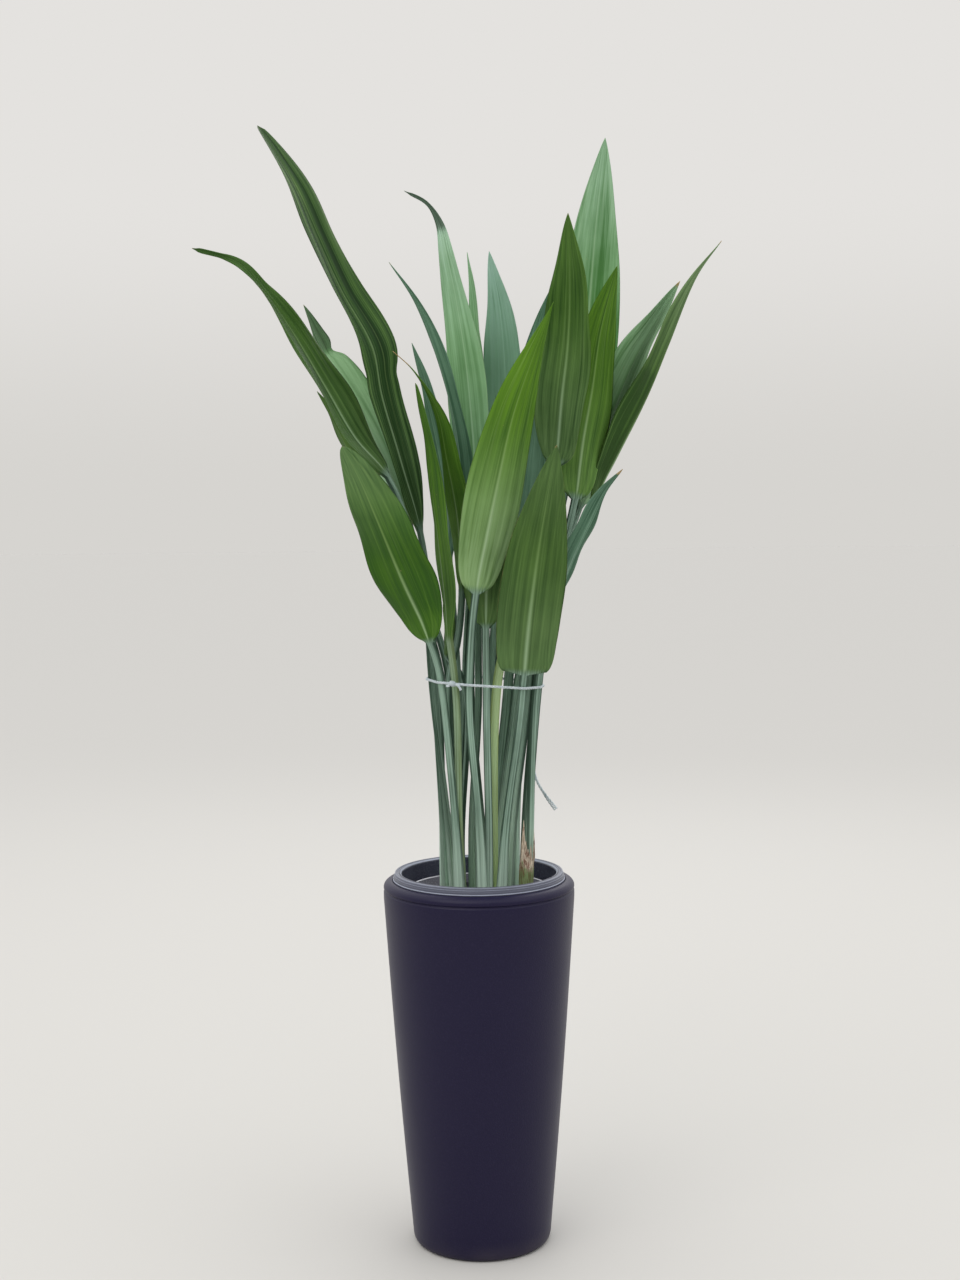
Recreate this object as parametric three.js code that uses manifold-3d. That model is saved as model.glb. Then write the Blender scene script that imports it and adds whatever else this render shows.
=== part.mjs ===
// A cast iron plant, tied with string, in its grower's pot inside a tall tapered planter.
// Millimetres, +Z up, -Y is the front. The origin is the middle of the planter's flat base.
import * as THREE from 'three';
import { mergeVertices } from 'three/addons/utils/BufferGeometryUtils.js';
import Module from 'manifold-3d';

const wasm = await Module();
wasm.setup();

const GAP = 0.3; // left between pieces that touch
const ROUND_SIDES = 40;

// ---------------------------------------------------------------- driving dimensions

const PLANTER = {
  footRadius: 83, footRound: 8, lowRadius: 91, topRadius: 125, topHeight: 460, bulge: 1.6,
  shoulderHeight: 483, mouthRadius: 113.3, ledgeHeight: 478.5, ledgeRadius: 106, wall: 4, floor: 6,
};
const LINER = {
  collarRadius: 112.9, stepRadius: 110, stepHeight: 490, collarTop: 493, mouthRadius: 101,
  wall: 2.5, floorRadius: 80, floorHeight: 292, floorThickness: 3,
};
const NURSERY = {
  rimOuter: 92.5, rimInner: 89.5, rimTop: 471.5, rimDepth: 5, stepRadius: 81, stepTop: 462, wall: 1.6,
  baseRadius: 70, floorThickness: 2,
};
const SOIL = { top: 447, edgeRadius: 78.6, crown: 3, holeDepth: 16 };
const HEAP = [[SOIL.edgeRadius, 0], [60, 0.6 * SOIL.crown], [30, SOIL.crown]]; // radius, and rise over top
const TIE = {
  height: 742, centreX: 11, slope: -0.07, thickness: 2, width: 3, slack: 0.7, steps: 40,
  knot: [[-30, -53, 3.6], [-25, -55, 3], [-34, -53.5, 2.6]], // x, y and radius of its lumps
};
const TAIL = {
  diameter: 2.4, steps: 30,
  route: [[70.4, 38.4, 735.9], [72.5, 43.5, 715], [73, 47, 680], [73, 45, 640], [77, 42, 608], [89, 39, 586],
    [103, 36, 567]],
};
const DRIED_SHEATH = {
  centre: [60.5, -29], radius: 9.6, from: -170, to: 10, height: 100, flare: 2, lean: 6, narrowing: 0.45,
  tear: 0.3, thickness: 0.9, columns: 6, rows: 6,
};
const STALK = { width: 8.5, depth: 6.5, channel: 1.2, flatness: 0.86, sheathDepth: 9, sheathHeight: 170 };
const BLADE = { midrib: 2, edge: 0.8, tipHalfWidth: 0.6, widest: 0.34, heelBlend: 0.14, waves: 2.5 };
const ACROSS = [-1, -0.55, 0, 0.55, 1]; // the places across a leaf that carry its surface
const LOW_STALK_STEPS = 3; // from the soil to the string
const HIGH_STALK_STEPS = 4; // from the string to the heel
const BLADE_STATIONS = [0, 0.03, 0.09, 0.18, 0.29, 0.41, 0.53, 0.65, 0.76, 0.86, 0.94, 1];
const SPAN_DIVISIONS = 40; // steps for measuring each span of a leaf's path

// ---------------------------------------------------------------- the leaves
// foot: where the stalk stands in the soil. sheath: its width there. tie: where it passes the string.
// stalk: bends of the stalk above the string, if any. rib: the midrib, from the blade's heel to its tip.
// width: of the flat blade. turn: degrees that its width is turned about the upright at heel and tip; at 0
// the blade's upper side looks to the back, at 180 to the front. fold: how far each half is folded up, in
// degrees. wave: height of the rippled margin. heel: how the blade starts, from 0.2, blunt, to 1, slender.
// point: how it ends, from 0.45, full, to 2, drawn out.

const LEAVES = [
  // the left fan, from the tallest down
  { foot: [-44, 6], sheath: 15, tie: [-56, 8], stalk: [[-60, -2, 849]], turn: [-115, -115], width: 88,
    rib: [[-72, -5, 940], [-96, -12, 1032], [-118, -20, 1112], [-129, -26, 1173], [-167, -32, 1244],
      [-197, -34, 1312], [-222, -30, 1372], [-270, -20, 1451]], fold: 14, wave: 3, heel: 0.5, point: 0.4 },
  { foot: [-38, -14], sheath: 17, tie: [-59, -12], stalk: [[-67, -24, 863], [-90, -36, 960]], width: 80,
    turn: [-122, -108], rib: [[-113, -44, 1012], [-150, -54, 1057], [-184, -64, 1117], [-228, -76, 1193],
      [-262, -84, 1242], [-289, -90, 1272], [-344, -98, 1289]], fold: 14, wave: 3, heel: 0.4, point: 1.7 },
  { foot: [-46, 24], sheath: 13, tie: [-52, 30], stalk: [[-66, 34, 847]], width: 84, turn: [-50, -50],
    rib: [[-88, 36, 952], [-130, 40, 1057], [-162, 42, 1120], [-193, 42, 1172], [-221, 38, 1233]],
    fold: 14, wave: 3, heel: 0.6, point: 0.85 },
  { foot: [-32, 36], sheath: 12, tie: [-38, 44], stalk: [[-66, 62, 846]], width: 60, turn: [-150, -150],
    rib: [[-95, 88, 952], [-119, 104, 1058], [-149, 110, 1122], [-191, 110, 1178]],
    fold: 12, wave: 2, heel: 0.6, point: 0.85 },
  { foot: [-28, 14], sheath: 12, tie: [-46, 20], stalk: [[-73, 16, 848]], width: 66, turn: [-60, -60],
    rib: [[-93, 12, 920], [-124, 6, 979], [-159, 2, 1037], [-182, 0, 1083], [-202, 0, 1119]],
    fold: 16, wave: 3, heel: 0.6, point: 0.85 },
  { foot: [-28, -36], sheath: 18, tie: [-46, -42], stalk: [], width: 84, turn: [-20, -15],
    rib: [[-59, -60, 800], [-93, -88, 882], [-121, -110, 955], [-142, -122, 1006], [-162, -128, 1045]],
    fold: 14, wave: 4, heel: 0.35, point: 0.6 },
  // the middle, from the front to the back
  { foot: [-8, -46], sheath: 17, tie: [-10, -52], stalk: [], width: 75, turn: [8, 20],
    rib: [[0, -74, 863], [13, -90, 928], [29, -100, 1002], [48, -108, 1082], [73, -114, 1154],
      [98, -118, 1218]], fold: 14, wave: 3, heel: 0.3, point: 1.1 },
  { foot: [8, -34], sheath: 13, tie: [12, -40], stalk: [], width: 68, turn: [0, 0],
    rib: [[12, -50, 817], [15, -56, 889], [29, -62, 978], [47, -66, 1065]],
    fold: 12, wave: 2, heel: 0.45, point: 0.85 },
  { foot: [-12, -24], sheath: 12, tie: [-28, -38], stalk: [], width: 48, turn: [-73, -73],
    rib: [[-34, -44, 800], [-43, -56, 896], [-52, -64, 978], [-58, -69, 1041], [-68, -72, 1091],
      [-73, -74, 1124]], fold: 14, wave: 2, heel: 0.6, point: 0.5 },
  { foot: [-24, -16], sheath: 12, tie: [-36, -20], stalk: [[-24, -24, 798]], width: 46, turn: [-66, -75],
    rib: [[-18, -28, 863], [-22, -32, 953], [-35, -35, 1029], [-48, -38, 1092], [-77, -40, 1142],
      [-102, -42, 1166]], fold: 16, wave: 2, heel: 0.6, point: 1.8 },
  { foot: [-18, 0], sheath: 12, tie: [-24, -2], stalk: [], width: 52, turn: [-58, -55],
    rib: [[-34, 8, 900], [-38, 12, 985], [-50, 16, 1056], [-63, 18, 1117], [-80, 18, 1181]],
    fold: 16, wave: 2, heel: 0.6, point: 0.85 },
  { foot: [-10, 12], sheath: 11, tie: [-18, 12], stalk: [], width: 36, turn: [-65, -65],
    rib: [[-38, 8, 775], [-40, 8, 820], [-44, 8, 885]], fold: 18, wave: 1, heel: 0.6, point: 0.85 },
  { foot: [-12, 30], sheath: 11, tie: [-16, 32], stalk: [], width: 42, turn: [-65, -60],
    rib: [[-9, 36, 886], [-15, 42, 991], [-26, 48, 1082], [-50, 52, 1174], [-74, 55, 1234], [-110, 57, 1289]],
    fold: 20, wave: 2, heel: 0.8, point: 0.9 },
  { foot: [6, 16], sheath: 13, tie: [2, 20], stalk: [], width: 60, turn: [155, 150],
    rib: [[3, 74, 938], [-1, 92, 1044], [-11, 104, 1164], [-23, 110, 1244], [-36, 113, 1311],
      [-45, 114, 1348], [-61, 112, 1373], [-91, 108, 1389]], fold: 12, wave: 3, heel: 0.6, point: 1.5 },
  { foot: [-2, 42], sheath: 11, tie: [-8, 50], stalk: [], width: 38, turn: [120, 120],
    rib: [[6, 122, 1000], [8, 140, 1130], [2, 152, 1248], [-8, 158, 1314]],
    fold: 18, wave: 2, heel: 0.7, point: 0.85 },
  { foot: [16, 42], sheath: 12, tie: [20, 52], stalk: [], width: 66, turn: [155, 150],
    rib: [[38, 116, 980], [43, 140, 1120], [36, 156, 1235], [22, 164, 1316]],
    fold: 12, wave: 3, heel: 0.6, point: 0.85 },
  // the right fan, from the front to the back
  { foot: [40, -40], sheath: 16, tie: [58, -52], stalk: [], width: 84, turn: [5, 0],
    rib: [[60, -58, 758], [68, -88, 840], [78, -108, 916], [88, -124, 977], [100, -140, 1044]],
    fold: 12, wave: 3, heel: 0.2, point: 0.85 },
  { foot: [18, -18], sheath: 12, tie: [26, -22], stalk: [], width: 72, turn: [10, 0],
    rib: [[45, -18, 825], [52, -8, 940], [66, 4, 1040], [84, 10, 1156]],
    fold: 12, wave: 2, heel: 0.5, point: 0.85 },
  { foot: [50, -14], sheath: 14, tie: [68, -24], stalk: [[88, -24, 900]], width: 84, turn: [140, 140],
    rib: [[104, -28, 1023], [111, -34, 1103], [119, -38, 1172], [122, -40, 1240], [120, -40, 1336]],
    fold: 8, wave: 3, heel: 0.3, point: 0.85 },
  { foot: [68, -6], sheath: 14, tie: [80, -8], stalk: [[107, -2, 886]], width: 70, turn: [20, 20],
    rib: [[129, -2, 980], [140, 2, 1054], [152, 8, 1118], [164, 12, 1195], [186, 18, 1277]],
    fold: 12, wave: 3, heel: 0.3, point: 0.85 },
  { foot: [38, 16], sheath: 14, tie: [54, 22], stalk: [[91, 50, 871]], width: 86, turn: [170, 190],
    rib: [[130, 92, 1043], [148, 104, 1163], [158, 112, 1269], [166, 116, 1355], [178, 118, 1458]],
    fold: 12, wave: 4, heel: 0.45, point: 0.85 },
  { foot: [34, 38], sheath: 12, tie: [42, 48], stalk: [], width: 70, turn: [165, 165],
    rib: [[70, 112, 930], [78, 134, 1060], [88, 146, 1170], [106, 150, 1264]],
    fold: 12, wave: 3, heel: 0.5, point: 0.85 },
  { foot: [52, 32], sheath: 12, tie: [66, 34], stalk: [[100, 40, 865]], width: 80, turn: [55, 55],
    rib: [[138, 46, 970], [173, 54, 1068], [211, 58, 1159], [243, 62, 1214], [272, 66, 1262]],
    fold: 12, wave: 3, heel: 0.5, point: 0.85 },
  { foot: [62, 12], sheath: 12, tie: [78, 8], stalk: [[115, 20, 879]], width: 76, turn: [75, 75],
    rib: [[150, 28, 966], [186, 32, 1033], [227, 36, 1113], [254, 38, 1177], [291, 38, 1265],
      [323, 38, 1310]], fold: 20, wave: 3, heel: 0.6, point: 1.1 },
  { foot: [60, -29], sheath: 12, tie: [76, -29], stalk: [[87, -33, 798]], width: 38, turn: [58, 58],
    rib: [[102, -38, 847], [122, -42, 901], [143, -45, 945], [165, -46, 989], [187, -46, 1015]],
    fold: 18, wave: 2, heel: 0.8, point: 0.85 },
];

const COLOURS = {
  planter: 0x27233a, liner: 0x5c6170, nursery: 0x2c2c30, soil: 0x2a211b, leaf: 0x2f5d28, string: 0xb4c0c2,
  driedSheath: 0x8a6b4a,
};

// ---------------------------------------------------------------- helpers

const { lerp, smoothstep } = THREE.MathUtils;

/** A lathe solid about the Z axis, from [radius, height] pairs that start and end on the axis or close. */
function turned(profile, sides = ROUND_SIDES) {
  const points = profile.map(([radius, height]) => new THREE.Vector2(radius, height));
  return new THREE.LatheGeometry(points, sides).rotateX(Math.PI / 2);
}

/** A named mesh with its own plain material. */
function piece(name, geometry, color, roughness) {
  const mesh = new THREE.Mesh(geometry, new THREE.MeshStandardMaterial({ color, roughness, metalness: 0 }));
  mesh.name = name;
  return mesh;
}

/**
 * A closed solid through rings of equally many points. The second half of each ring lies back over the
 * first, so the squares of both halves are split the same way, and the ends are closed between the halves.
 */
function loft(rings) {
  const count = rings[0].length;
  const positions = rings.flat().flatMap((point) => point.toArray());
  const faces = [];
  for (let row = 0; row < rings.length - 1; row += 1) {
    for (let i = 0; i < count; i += 1) {
      const a = row * count + i;
      const b = row * count + ((i + 1) % count);
      if (i < count / 2) {
        faces.push(a, b, b + count, a, b + count, a + count);
      } else {
        faces.push(a, b, a + count, b, b + count, a + count);
      }
    }
  }
  const last = (rings.length - 1) * count;
  for (let i = 0; i < count / 2 - 1; i += 1) {
    const over = count - 1 - i;
    faces.push(i, over - 1, i + 1, i, over, over - 1);
    faces.push(last + i, last + i + 1, last + over - 1, last + i, last + over - 1, last + over);
  }
  const geometry = new THREE.BufferGeometry();
  geometry.setAttribute('position', new THREE.Float32BufferAttribute(positions, 3));
  geometry.setIndex(faces);
  return geometry;
}

/** The manifold solid of a closed geometry. */
function solidOf(geometry) {
  const bare = geometry.clone();
  bare.deleteAttribute('normal');
  bare.deleteAttribute('uv');
  const merged = mergeVertices(bare, 1e-4);
  return new wasm.Manifold(new wasm.Mesh({
    numProp: 3,
    vertProperties: new Float32Array(merged.attributes.position.array),
    triVerts: new Uint32Array(merged.index.array),
  }));
}

/** The geometry of a manifold solid. */
function geometryOf(solid) {
  const mesh = solid.getMesh();
  const geometry = new THREE.BufferGeometry();
  geometry.setAttribute('position', new THREE.BufferAttribute(new Float32Array(mesh.vertProperties), 3));
  geometry.setIndex([...mesh.triVerts]);
  return geometry;
}

// ---------------------------------------------------------------- pots and soil

/** The planter: a tapered body with a slightly bellied wall, a rounded shoulder and an inner ledge. */
function planterShell() {
  const p = PLANTER;
  const outer = [[0, 0], [p.footRadius, 0], [p.lowRadius - 2.4, 2.4], [p.lowRadius, p.footRound]];
  const rows = 6;
  for (let i = 1; i <= rows; i += 1) {
    const t = i / rows;
    const radius = lerp(p.lowRadius, p.topRadius, t) + p.bulge * Math.sin(Math.PI * t);
    outer.push([radius, lerp(p.footRound, p.topHeight, t)]);
  }
  const shoulder = [];
  const shoulderSteps = 4;
  for (let i = 1; i <= shoulderSteps; i += 1) {
    const angle = (i / shoulderSteps) * (Math.PI / 2);
    const radius = p.mouthRadius + (p.topRadius - p.mouthRadius) * Math.cos(angle);
    const height = p.topHeight + 10 + (p.shoulderHeight - p.topHeight - 10) * Math.sin(angle);
    shoulder.push([radius, height]);
  }
  const lip = [
    [p.mouthRadius, p.ledgeHeight], [p.ledgeRadius, p.ledgeHeight], [p.ledgeRadius, p.ledgeHeight - p.wall],
  ];
  const inward = ([radius, height]) => [radius - p.wall, Math.max(height, p.floor)];
  const inner = outer.slice(3).reverse().map(inward);
  return turned([...outer, [p.topRadius, p.topHeight + 10], ...shoulder, ...lip, ...inner, [0, p.floor]]);
}

/** The lift-out liner: a stepped collar that rests on the ledge, with a tapered bucket under it. */
function linerPot() {
  const p = LINER;
  const under = PLANTER.ledgeHeight + GAP;
  const sleeve = p.mouthRadius + p.wall;
  return turned([
    [0, p.floorHeight - p.floorThickness], [p.floorRadius + p.wall, p.floorHeight - p.floorThickness],
    [sleeve, under - 6], [sleeve, under], [p.collarRadius, under], [p.collarRadius, p.stepHeight],
    [p.stepRadius, p.stepHeight], [p.stepRadius, p.collarTop - 0.8], [p.stepRadius - 1.5, p.collarTop],
    [p.mouthRadius + 2, p.collarTop - 0.6], [p.mouthRadius, p.collarTop - 2.6], [p.mouthRadius, under - 6],
    [p.floorRadius, p.floorHeight], [0, p.floorHeight],
  ]);
}

/** The grower's pot: a thin wall with a rolled rim and a step below it. */
function nurseryPot() {
  const p = NURSERY;
  const base = LINER.floorHeight + GAP;
  return turned([
    [0, base], [p.baseRadius, base], [p.stepRadius + p.wall, p.stepTop - 4],
    [p.rimInner - 1.2, p.rimTop - p.rimDepth], [p.rimOuter, p.rimTop - p.rimDepth],
    [p.rimOuter, p.rimTop - 0.8], [p.rimOuter - 0.8, p.rimTop],
    [p.rimInner, p.rimTop], [p.rimInner - 1.6, p.rimTop - 2.4], [p.stepRadius + 0.6, p.stepTop],
    [p.stepRadius - 0.6, p.stepTop - 1], [p.baseRadius - p.wall, base + p.floorThickness],
    [0, base + p.floorThickness],
  ]);
}

/** The potting mix, with a plain hole for each stalk. */
function soilPlug() {
  const base = LINER.floorHeight + GAP + NURSERY.floorThickness + GAP;
  const lowRadius = NURSERY.baseRadius - NURSERY.wall - GAP;
  const heap = HEAP.map(([radius, rise]) => [radius, SOIL.top + rise]);
  let plug = solidOf(turned([[0, base], [lowRadius, base], ...heap, [0, SOIL.top + SOIL.crown]]));
  for (const leaf of LEAVES) {
    plug = plug.subtract(solidOf(stalkHole(leaf)));
  }
  return geometryOf(plug);
}

// ---------------------------------------------------------------- leaves

/** The height of the string where it passes the given x. */
function tieHeight(x) {
  return TIE.height + TIE.slope * (x - TIE.centreX);
}

/** The path of a leaf from its foot to its tip, and the shares of it at the string and the heel. */
function leafPath(leaf) {
  const [footX, footY] = leaf.foot;
  const [tieX, tieY] = leaf.tie;
  const footHeight = SOIL.top - SOIL.holeDepth + GAP;
  const stalk = [[footX, footY, footHeight], [tieX, tieY, tieHeight(tieX)], ...leaf.stalk];
  const points = [...stalk, ...leaf.rib].map((point) => new THREE.Vector3(...point));
  const curve = new THREE.CatmullRomCurve3(points, false, 'centripetal');
  curve.arcLengthDivisions = SPAN_DIVISIONS * (points.length - 1);
  const lengths = curve.getLengths();
  const length = lengths[lengths.length - 1];
  const shareAt = (index) => lengths[SPAN_DIVISIONS * index] / length;
  return { curve, length, tieShare: shareAt(1), heelShare: shareAt(stalk.length) };
}

/** Half of the blade's width at s, from 0 at the heel to 1 at the tip. */
function bladeHalfWidth(leaf, s) {
  const rise = Math.sin(Math.min(1, s / BLADE.widest) * (Math.PI / 2)) ** leaf.heel;
  const along = Math.max(0, (s - BLADE.widest) / (1 - BLADE.widest));
  const fall = Math.cos(along * (Math.PI / 2)) ** leaf.point;
  return (leaf.width / 2) * rise * (s < BLADE.widest ? 1 : fall);
}

/** The closed section of a leaf at a share of its length; grow widens it all round. */
function leafRing(leaf, path, share, grow = 0) {
  const centre = path.curve.getPointAt(share);
  const tangent = path.curve.getTangentAt(share);
  const s = Math.max(0, (share - path.heelShare) / (1 - path.heelShare));
  const turn = THREE.MathUtils.degToRad(lerp(leaf.turn[0], leaf.turn[1], s));
  const side = new THREE.Vector3(Math.cos(turn), Math.sin(turn), 0);
  side.addScaledVector(tangent, -side.dot(tangent)).normalize();
  const up = new THREE.Vector3().crossVectors(tangent, side);

  const footLength = share * path.length;
  const sheath = 1 - smoothstep(footLength, 0, STALK.sheathHeight);
  const blade = smoothstep(s, 0, BLADE.heelBlend);
  const stalkHalf = lerp(STALK.width, leaf.sheath, sheath) / 2;
  const stalkDepth = lerp(STALK.depth, STALK.sheathDepth, sheath);
  const half = Math.max(bladeHalfWidth(leaf, s), lerp(stalkHalf, BLADE.tipHalfWidth, smoothstep(s, 0, 0.5)));
  const fold = THREE.MathUtils.degToRad(leaf.fold) * blade;
  const envelope = Math.sin(Math.PI * s) * leaf.wave;

  const upper = [];
  const lower = [];
  for (const across of ACROSS) {
    const away = Math.abs(across);
    const phase = 2 * BLADE.waves * s + 0.8 * across + leaf.width / 10;
    const ripple = envelope * across * across * Math.sin(Math.PI * phase);
    const stalkThick = stalkDepth * Math.sqrt(1 - STALK.flatness * away * away);
    const bladeThick = lerp(lerp(BLADE.midrib, BLADE.edge, away), BLADE.edge, s);
    const thick = lerp(stalkThick, bladeThick, blade) / 2 + grow;
    const channel = (1 - away) * STALK.channel * (1 - blade) * (1 - sheath);
    const x = across * (half * Math.cos(fold) + grow);
    const z = away * half * Math.sin(fold) + ripple;
    upper.push(centre.clone().addScaledVector(side, x).addScaledVector(up, z + thick - channel));
    lower.unshift(centre.clone().addScaledVector(side, x).addScaledVector(up, z - thick));
  }
  return [...lower.reverse(), ...upper.reverse()];
}

/** One leaf, with its stalk and sheathing foot. */
function leafSolid(leaf) {
  const path = leafPath(leaf);
  const shares = [];
  for (let i = 0; i < LOW_STALK_STEPS; i += 1) {
    shares.push(lerp(0, path.tieShare, i / LOW_STALK_STEPS));
  }
  for (let i = 0; i < HIGH_STALK_STEPS; i += 1) {
    shares.push(lerp(path.tieShare, path.heelShare, i / HIGH_STALK_STEPS));
  }
  for (const s of BLADE_STATIONS) {
    shares.push(lerp(path.heelShare, 1, s));
  }
  return loft(shares.map((share) => leafRing(leaf, path, share)));
}

/** What a leaf's stalk takes out of the soil. */
function stalkHole(leaf) {
  const path = leafPath(leaf);
  const top = (SOIL.holeDepth + 12) / path.length;
  const low = leafRing(leaf, path, 0, GAP);
  const high = leafRing(leaf, path, top, GAP);
  const drop = low.map((point) => point.clone().add(new THREE.Vector3(0, 0, -GAP)));
  return loft([drop, high]);
}

// ---------------------------------------------------------------- string and dried sheath

/** The string, drawn tight round the outer stalks, with its knot at the front. */
function tieBand() {
  const reach = STALK.width / 2 + TIE.slack + TIE.thickness / 2;
  const loop = [];
  for (let i = 0; i < TIE.steps; i += 1) {
    const angle = (i / TIE.steps) * 2 * Math.PI;
    const out = new THREE.Vector2(Math.cos(angle), Math.sin(angle));
    const reaches = LEAVES.map((leaf) => new THREE.Vector2(...leaf.tie).dot(out));
    const [x, y] = LEAVES[reaches.indexOf(Math.max(...reaches))].tie;
    loop.push({ out, x: x + reach * out.x, y: y + reach * out.y });
  }
  const section = [[-0.5, -0.5], [0.5, -0.5], [0.5, 0.5], [-0.5, 0.5]];
  const rings = loop.map(({ out, x, y }) => section.map(([across, up]) => new THREE.Vector3(
    x + out.x * across * TIE.thickness, y + out.y * across * TIE.thickness, tieHeight(x) + up * TIE.width)));
  let band = solidOf(hoop(rings));
  for (const [x, y, radius] of TIE.knot) {
    const lump = new THREE.IcosahedronGeometry(radius, 1).translate(x, y, tieHeight(x));
    band = band.add(solidOf(lump));
  }
  return geometryOf(band);
}

/** A closed hoop through rings of equally many points. */
function hoop(rings) {
  const count = rings[0].length;
  const faces = [];
  rings.forEach((ring, row) => {
    const next = ((row + 1) % rings.length) * count;
    for (let i = 0; i < count; i += 1) {
      const j = (i + 1) % count;
      faces.push(row * count + i, next + j, row * count + j, row * count + i, next + i, next + j);
    }
  });
  const geometry = new THREE.BufferGeometry();
  const positions = rings.flat().flatMap((point) => point.toArray());
  geometry.setAttribute('position', new THREE.Float32BufferAttribute(positions, 3));
  geometry.setIndex(faces);
  return geometry;
}

/** The loose end of the string. */
function tieTail() {
  const path = new THREE.CatmullRomCurve3(TAIL.route.map((point) => new THREE.Vector3(...point)));
  const section = new THREE.Shape();
  section.absarc(0, 0, TAIL.diameter / 2, 0, 2 * Math.PI);
  return new THREE.ExtrudeGeometry(section, { steps: TAIL.steps, curveSegments: 4, extrudePath: path });
}

/** The height of the soil at a distance from the middle. */
function soilHeight(radius) {
  for (let i = 1; i < HEAP.length; i += 1) {
    const [outer, outerRise] = HEAP[i - 1];
    const [inner, innerRise] = HEAP[i];
    if (radius > inner) {
      return SOIL.top + lerp(innerRise, outerRise, (radius - inner) / (outer - inner));
    }
  }
  return SOIL.top + SOIL.crown;
}

/** The papery scale that stands round the foot of an outer stalk, with a torn top. */
function driedSheath() {
  const { centre, radius, from, to, height, flare, lean, narrowing, tear } = DRIED_SHEATH;
  const { thickness, columns, rows } = DRIED_SHEATH;
  const rings = [];
  for (let row = 0; row <= rows; row += 1) {
    const t = row / rows;
    const outer = [];
    const inner = [];
    for (let i = 0; i <= columns; i += 1) {
      const across = i / columns;
      const angle = THREE.MathUtils.degToRad(lerp(from, to, lerp(0.5, across, 1 - narrowing * t * t)));
      const torn = 1 - tear * Math.abs(Math.sin(7 * across + 0.6)) * t;
      for (const [list, shift] of [[outer, thickness / 2], [inner, -thickness / 2]]) {
        const r = radius + flare * t * t + shift;
        const x = centre[0] + r * Math.cos(angle);
        const y = centre[1] + r * Math.sin(angle);
        list.push(new THREE.Vector3(x + lean * t, y, soilHeight(Math.hypot(x, y)) + GAP + height * t * torn));
      }
    }
    rings.push([...outer, ...inner.reverse()]);
  }
  return loft(rings);
}

const plant = new THREE.Group();
plant.add(piece('planter_shell', planterShell(), COLOURS.planter, 0.45));
plant.add(piece('planter_liner', linerPot(), COLOURS.liner, 0.5));
plant.add(piece('nursery_pot', nurseryPot(), COLOURS.nursery, 0.5));
plant.add(piece('soil', soilPlug(), COLOURS.soil, 1));
LEAVES.forEach((leaf, i) => {
  plant.add(piece(`leaf_${String(i + 1).padStart(2, '0')}`, leafSolid(leaf), COLOURS.leaf, 0.4));
});

plant.add(piece('tie_band', tieBand(), COLOURS.string, 0.5));
plant.add(piece('tie_tail', tieTail(), COLOURS.string, 0.5));
plant.add(piece('dried_sheath', driedSheath(), COLOURS.driedSheath, 0.9));

export default plant;
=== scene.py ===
"""Dresses a cast iron plant, tied with string, that stands in its grower's pot in a tall tapered planter.

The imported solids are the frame. Over them this script remakes each leaf, the pots, the potting mix, the
string and the dried sheath finely, in metres, with +Z up and -Y to the front.
"""

import logging
import math
from dataclasses import dataclass
from enum import Enum
from types import MappingProxyType
from typing import Mapping, Sequence, Union

import bpy
import numpy as np
from mathutils import Matrix, Vector


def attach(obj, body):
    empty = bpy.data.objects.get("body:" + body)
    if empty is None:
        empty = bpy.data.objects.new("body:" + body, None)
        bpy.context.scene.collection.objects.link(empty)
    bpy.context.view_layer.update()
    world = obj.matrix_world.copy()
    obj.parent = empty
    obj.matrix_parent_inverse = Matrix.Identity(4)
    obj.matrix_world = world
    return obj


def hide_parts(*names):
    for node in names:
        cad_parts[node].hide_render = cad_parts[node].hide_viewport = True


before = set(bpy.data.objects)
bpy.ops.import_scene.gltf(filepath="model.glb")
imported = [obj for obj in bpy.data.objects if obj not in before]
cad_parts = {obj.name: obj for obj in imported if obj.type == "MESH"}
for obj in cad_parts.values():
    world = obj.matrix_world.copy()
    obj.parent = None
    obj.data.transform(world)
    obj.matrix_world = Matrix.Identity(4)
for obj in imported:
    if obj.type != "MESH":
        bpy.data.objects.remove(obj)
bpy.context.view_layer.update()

MM = 0.001
BODY = "root"
LOG = logging.getLogger("cast_iron_plant")
NONE: Mapping = MappingProxyType({})

Colour = tuple[float, float, float]
Point = tuple[float, float, float]


def srgb(red: int, green: int, blue: int) -> Colour:
    """The linear colour of a colour given as 0 to 255 for a screen."""
    levels = (level / 255 for level in (red, green, blue))
    return tuple(((v + 0.055) / 1.055) ** 2.4 if v > 0.04045 else v / 12.92 for v in levels)


# ------------------------------------------------------------------ node trees written as expressions


class Wire:
    """A socket of a node tree that arithmetic can be done on: each operation adds the node that does it."""

    def __init__(self, tree: "Tree", socket: bpy.types.NodeSocket) -> None:
        """Keeps the tree and the socket that carries the value."""
        self.tree = tree
        self.socket = socket


Value = Union[Wire, bpy.types.NodeSocket, float, int, str, bool, Sequence[float], None]


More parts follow.
